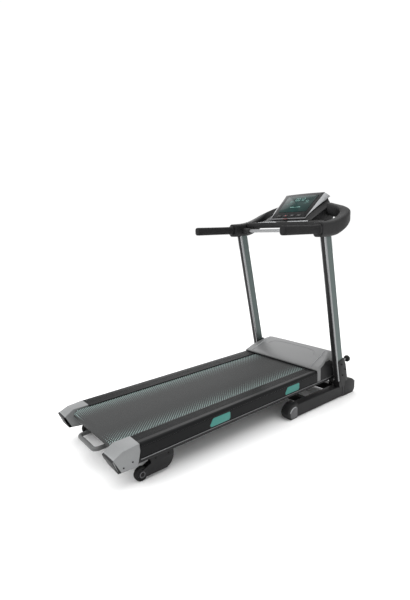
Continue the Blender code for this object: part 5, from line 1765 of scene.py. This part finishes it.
    def readout(self) -> None:
        """The lit digits, bars and frame lines of the display."""
        lit = Shape()
        top = 0.74 * PANEL_LENGTH
        for i, value in enumerate("0012"):
            self.digit(lit, value, (-0.030 + i * 0.020, top), 0.026)
        for x, text in ((-0.072, "30"), (0.062, "58")):
            for i, value in enumerate(text):
                self.digit(lit, value, (x + i * 0.012, 0.66 * PANEL_LENGTH), 0.015)
        for i in range(11):
            high = 0.002 + 0.005 * (0.5 + 0.5 * sin(i * 0.9))
            x = -0.040 + i * 0.008
            lit.block((x - 0.0025, 0.42 * PANEL_LENGTH, 0.0012),
                      (x + 0.0025, 0.42 * PANEL_LENGTH + high, 0.0016))
        for sign in (-1, 1):
            low, high = sorted((sign * 0.050, sign * 0.094))
            lit.block((low, 0.575 * PANEL_LENGTH, 0.0012), (high, 0.579 * PANEL_LENGTH, 0.0015))
        lit.move(self.sheet).publish("display_digits", self.palette.lit, "base", "screen")

    def key_caps(self) -> None:
        """The four keys and their marks: minus, square, triangle and plus."""
        low, high = (share * PANEL_LENGTH for share in self.key_run)
        middle = (low + high) / 2
        for name, x in self.keys:
            red = name == "key_stop"
            cap = Shape().block((x - self.key_half, low, -0.0030), (x + self.key_half, high, 0.0022), 0.0012,
                                3)
            cap.move(self.sheet).publish(
                f"{name}_cap", self.palette.black_plastic, name, "black_plastic", (name,)
            )
            mark = Shape()
            face = (0.0020, 0.0025)
            if name == "key_stop":
                mark.block((x - 0.0032, middle - 0.0032, face[0]), (x + 0.0032, middle + 0.0032, face[1]))
            elif name == "key_start":
                mark.prism([(x - 0.0030, middle - 0.0036), (x + 0.0040, middle),
                            (x - 0.0030, middle + 0.0036)],
                           Axis.Z, *face)
            else:
                mark.block((x - 0.0045, middle - 0.0008, face[0]), (x + 0.0045, middle + 0.0008, face[1]))
                if name == "key_faster":
                    mark.block((x - 0.0008, middle - 0.0045, face[0]),
                               (x + 0.0008, middle + 0.0045, face[1] - 0.0001))
            finish, slot = (self.palette.red,
                            "red_plastic") if red else (self.palette.print, "silver_plastic")
            mark.move(self.sheet).publish(f"{name}_mark", finish, name, slot)

    def bezel(self) -> None:
        """The silver strips up the panel's sides, pointed at the foot, and the strip across its foot."""
        foot = Shape().block((-0.1540, -0.045 * PANEL_LENGTH, -0.0050),
                             (0.1540, -0.006 * PANEL_LENGTH, 0.0014), 0.001, 2)
        foot.move(self.sheet).publish(
            "bezel_foot", self.palette.grey_inlay, "base", "silver_plastic", ("console_bezel",)
        )
        stations = ((-0.030, 0.1462, 0.1472, 0.0005), (0.15, 0.1482, 0.1545, 0.0015),
                    (0.30, 0.1508, 0.1640, 0.0040),
                    (0.50, 0.1540, 0.1735, 0.0095), (0.65, 0.1563, 0.1795, 0.0155),
                    (0.82, 0.1592, 0.1850, 0.0235),
                    (0.97, 0.1617, 0.1895, 0.0320))
        for side in Side:
            rings = []
            for up, inner, outer, fall in stations:
                y = up * PANEL_LENGTH
                rings.append([(inner, y, -0.0006), ((inner + outer) / 2, y, -0.0002 - fall * 0.40),
                              (outer, y, -fall),
                              (outer, y, -fall - 0.0045), (inner, y, -0.0050)])
            Shape().skin(rings, 0.0005, 2).mirrored(side).move(self.sheet).publish(
                f"bezel_{side.label}", self.palette.bright_trim, "base", "silver_plastic", smooth=35
            )

    def safety_key(self) -> None:
        """The black safety key with a red band, its blade in the slot."""
        middle = -0.095 * PANEL_LENGTH
        half = 0.029 * PANEL_LENGTH
        key = Shape().block((-0.0170, middle - half, 0.0045), (0.0170, middle + half, 0.0140), 0.0025, 3)
        key.carve(
            Shape().block((-0.0110, middle - 0.0042, -0.0200), (0.0110, middle + 0.0042, 0.0080), 0.0006, 1),
            "UNION"
        )
        key.move(self.sheet).publish(
            "safety_key_body", self.palette.black_plastic, "safety_key", "red_plastic", ("safety_key",)
        )
        band = Shape().block((-0.0174, middle - 0.0012, 0.0080), (0.0174, middle + 0.0012, 0.0142), 0.0005, 1)
        band.move(self.sheet).publish("safety_key_band", self.palette.red, "safety_key", "red_plastic")

    def build(self) -> None:
        """Every piece of the console."""
        self.housing()
        self.tray()
        self.panel()
        self.readout()
        self.key_caps()
        self.bezel()
        self.safety_key()


# -------------------------------------------------------------------------------------- what stays as it is


@dataclass
class Machinery:
    """The frame's own nodes that keep their shapes and take a finish, and the small parts added to them."""

    palette: Palette
    painted: tuple[str, ...] = (
        "base_cross_rear", "base_front_frame", "deck_side_left", "deck_side_right", "deck_cross_rear",
        "deck_cross_front", "strut_barrel", "motor", "pivot_pin_left", "pivot_pin_right",
    )
    steel: tuple[str, ...] = ("front_roller", "rear_roller", "motor_pulley", "strut_rod")

    def dress(self, names: Iterable[str], material: bpy.types.Material) -> None:
        """Give nodes a finish."""
        for name in names:
            node = frame["nodes"][name]
            node.data.materials.clear()
            node.data.materials.append(material)

    def build(self) -> None:
        """Dress the nodes and add the cross bar with a boot at each end."""
        self.dress(self.painted, self.palette.black_paint)
        self.dress(self.steel, self.palette.steel)
        self.dress(("running_board",), self.palette.board)
        self.dress(("drive_belt",), self.palette.rubber)
        self.dress(("controller", "console_board"), self.palette.circuit)
        low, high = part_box("crossbar")
        centre = (low + high) / 2
        reach, radius = high.x, (high.z - low.z) / 2
        bar = Shape().turned([(0, -reach), (radius, -reach), (radius, reach), (0, reach)], Axis.X,
                             (0, centre.y, centre.z), 48)
        bar.publish("cross_bar", self.palette.crossbar, "base", "aluminium", ("crossbar",))
        collars = Shape()
        for sign in (-1, 1):
            collar = [(radius, 0.0), (radius + 0.0090, 0.0), (radius + 0.0080, -0.0550 * sign),
                      (radius + 0.0060, -0.0600 * sign), (radius, -0.0605 * sign), (radius, 0.0)]
            collars.turned(collar, Axis.X, (sign * reach, centre.y, centre.z), 40)
        collars.publish("cross_bar_collars", self.palette.black_plastic, "base", "black_plastic")


# ------------------------------------------------------------------------------------------------- studio


@dataclass
class Studio:
    """A pale floor, soft lights and the camera."""

    camera_at: Point = (1.8546, -1.5879, 1.1376)
    yaw: float = radians(51.41)
    pitch: float = radians(-9.87)
    roll: float = radians(-1.44)
    lens: float = 24.9
    floor_half: float = 14.0
    sky: float = 1.03
    room: float = 0.84
    backdrop: Point = (-0.88, 0.42, 0.22)
    sun: float = 1.35
    sun_spread: float = radians(70)
    view_reach: float = 60.0
    aim: Point = (0.0, 0.1, 0.5)
    lights: tuple[tuple[str, Point, float, float], ...] = (
        ("key", (-1.4, -4.2, 2.7), 3.0, 95.0), ("back", (-3.6, 2.8, 3.4), 3.2, 40.0),
    )

    def floor(self) -> None:
        """The pale floor."""
        graph = Graph("studio_floor")
        cloud = graph.noise(0.8, 3.0)
        material = graph.dress(base_color=graph.tones((0.955, 0.955, 0.955), 0.01, cloud), roughness=0.9)
        made = bmesh.new()
        bmesh.ops.create_grid(made, x_segments=1, y_segments=1, size=self.floor_half)
        mesh = bpy.data.meshes.new("studio_floor")
        made.to_mesh(mesh)
        made.free()
        mesh.materials.append(material)
        floor = bpy.data.objects.new("studio_floor", mesh)
        bpy.context.scene.collection.objects.link(floor)

    def light(self) -> None:
        """The soft boxes and the room's light."""
        for name, place, size, power in self.lights:
            lamp = bpy.data.lights.new(name, "AREA")
            lamp.size = size
            lamp.energy = power
            holder = bpy.data.objects.new(name, lamp)
            holder.location = place
            aim = Vector(self.aim) - Vector(place)
            holder.rotation_euler = aim.to_track_quat("-Z", "Y").to_euler()
            bpy.context.scene.collection.objects.link(holder)
        overhead = bpy.data.lights.new("overhead", "SUN")
        overhead.energy = self.sun
        overhead.angle = self.sun_spread
        bpy.context.scene.collection.objects.link(bpy.data.objects.new("overhead", overhead))
        world = bpy.data.worlds.new("studio")
        world.use_nodes = True
        world.node_tree.nodes["Background"].inputs["Color"].default_value = (1.0, 1.0, 1.0, 1.0)
        graph = Graph.over(world.node_tree)
        facing = graph.node("ShaderNodeTexCoord", {}, {}).outputs["Generated"]
        toward = graph.node("ShaderNodeVectorMath", {"operation": "DOT_PRODUCT"},
                            {0: facing, 1: self.backdrop})
        share = (Sock(graph, toward.outputs["Value"]) * 1.2 + 0.5).clamp()
        graph.feed(world.node_tree.nodes["Background"].inputs["Strength"],
                   share * (self.sky - self.room) + self.room)
        bpy.context.scene.world = world
        bpy.context.scene.view_settings.view_transform = "Standard"

    def camera(self) -> None:
        """The camera."""
        lens = bpy.data.cameras.new("camera")
        lens.lens = self.lens
        lens.clip_end = self.view_reach
        camera = bpy.data.objects.new("camera", lens)
        forward = Vector((-sin(self.yaw) * cos(self.pitch), cos(self.yaw) * cos(self.pitch), sin(self.pitch)))
        right = Vector((cos(self.yaw), sin(self.yaw), 0.0))
        up = right.cross(forward)
        x_axis = right * cos(self.roll) + up * sin(self.roll)
        y_axis = up * cos(self.roll) - right * sin(self.roll)
        turn = Matrix((x_axis, y_axis, -forward)).transposed().to_4x4()
        camera.matrix_world = Matrix.Translation(self.camera_at) @ turn
        bpy.context.scene.collection.objects.link(camera)
        bpy.context.scene.camera = camera

    def build(self) -> None:
        """Set the studio up."""
        self.floor()
        self.light()
        self.camera()


def main() -> None:
    """Build and dress every sub-assembly, and log the name of each piece it makes."""
    logging.basicConfig(level=logging.INFO, format="%(name)s: %(message)s")
    Studio().build()
    palette = Palette()
    assemblies: list[Any] = []
    for side in Side:
        assemblies += [FootRail(palette, side), EndCap(palette, side), SupportWheel(palette, side),
                       FloorRail(palette, side), Upright(palette, side), Handle(palette, side)]
    assemblies += [Belt(palette), LiftHandle(palette), MotorHood(palette), Console(palette),
                   Machinery(palette)]
    for assembly in assemblies:
        before = set(bpy.data.objects)
        assembly.build()
        for piece in sorted(o.name for o in bpy.data.objects if o not in before):
            LOG.info("%s: %s", type(assembly).__name__, piece)


if __name__ == "__main__":
    main()
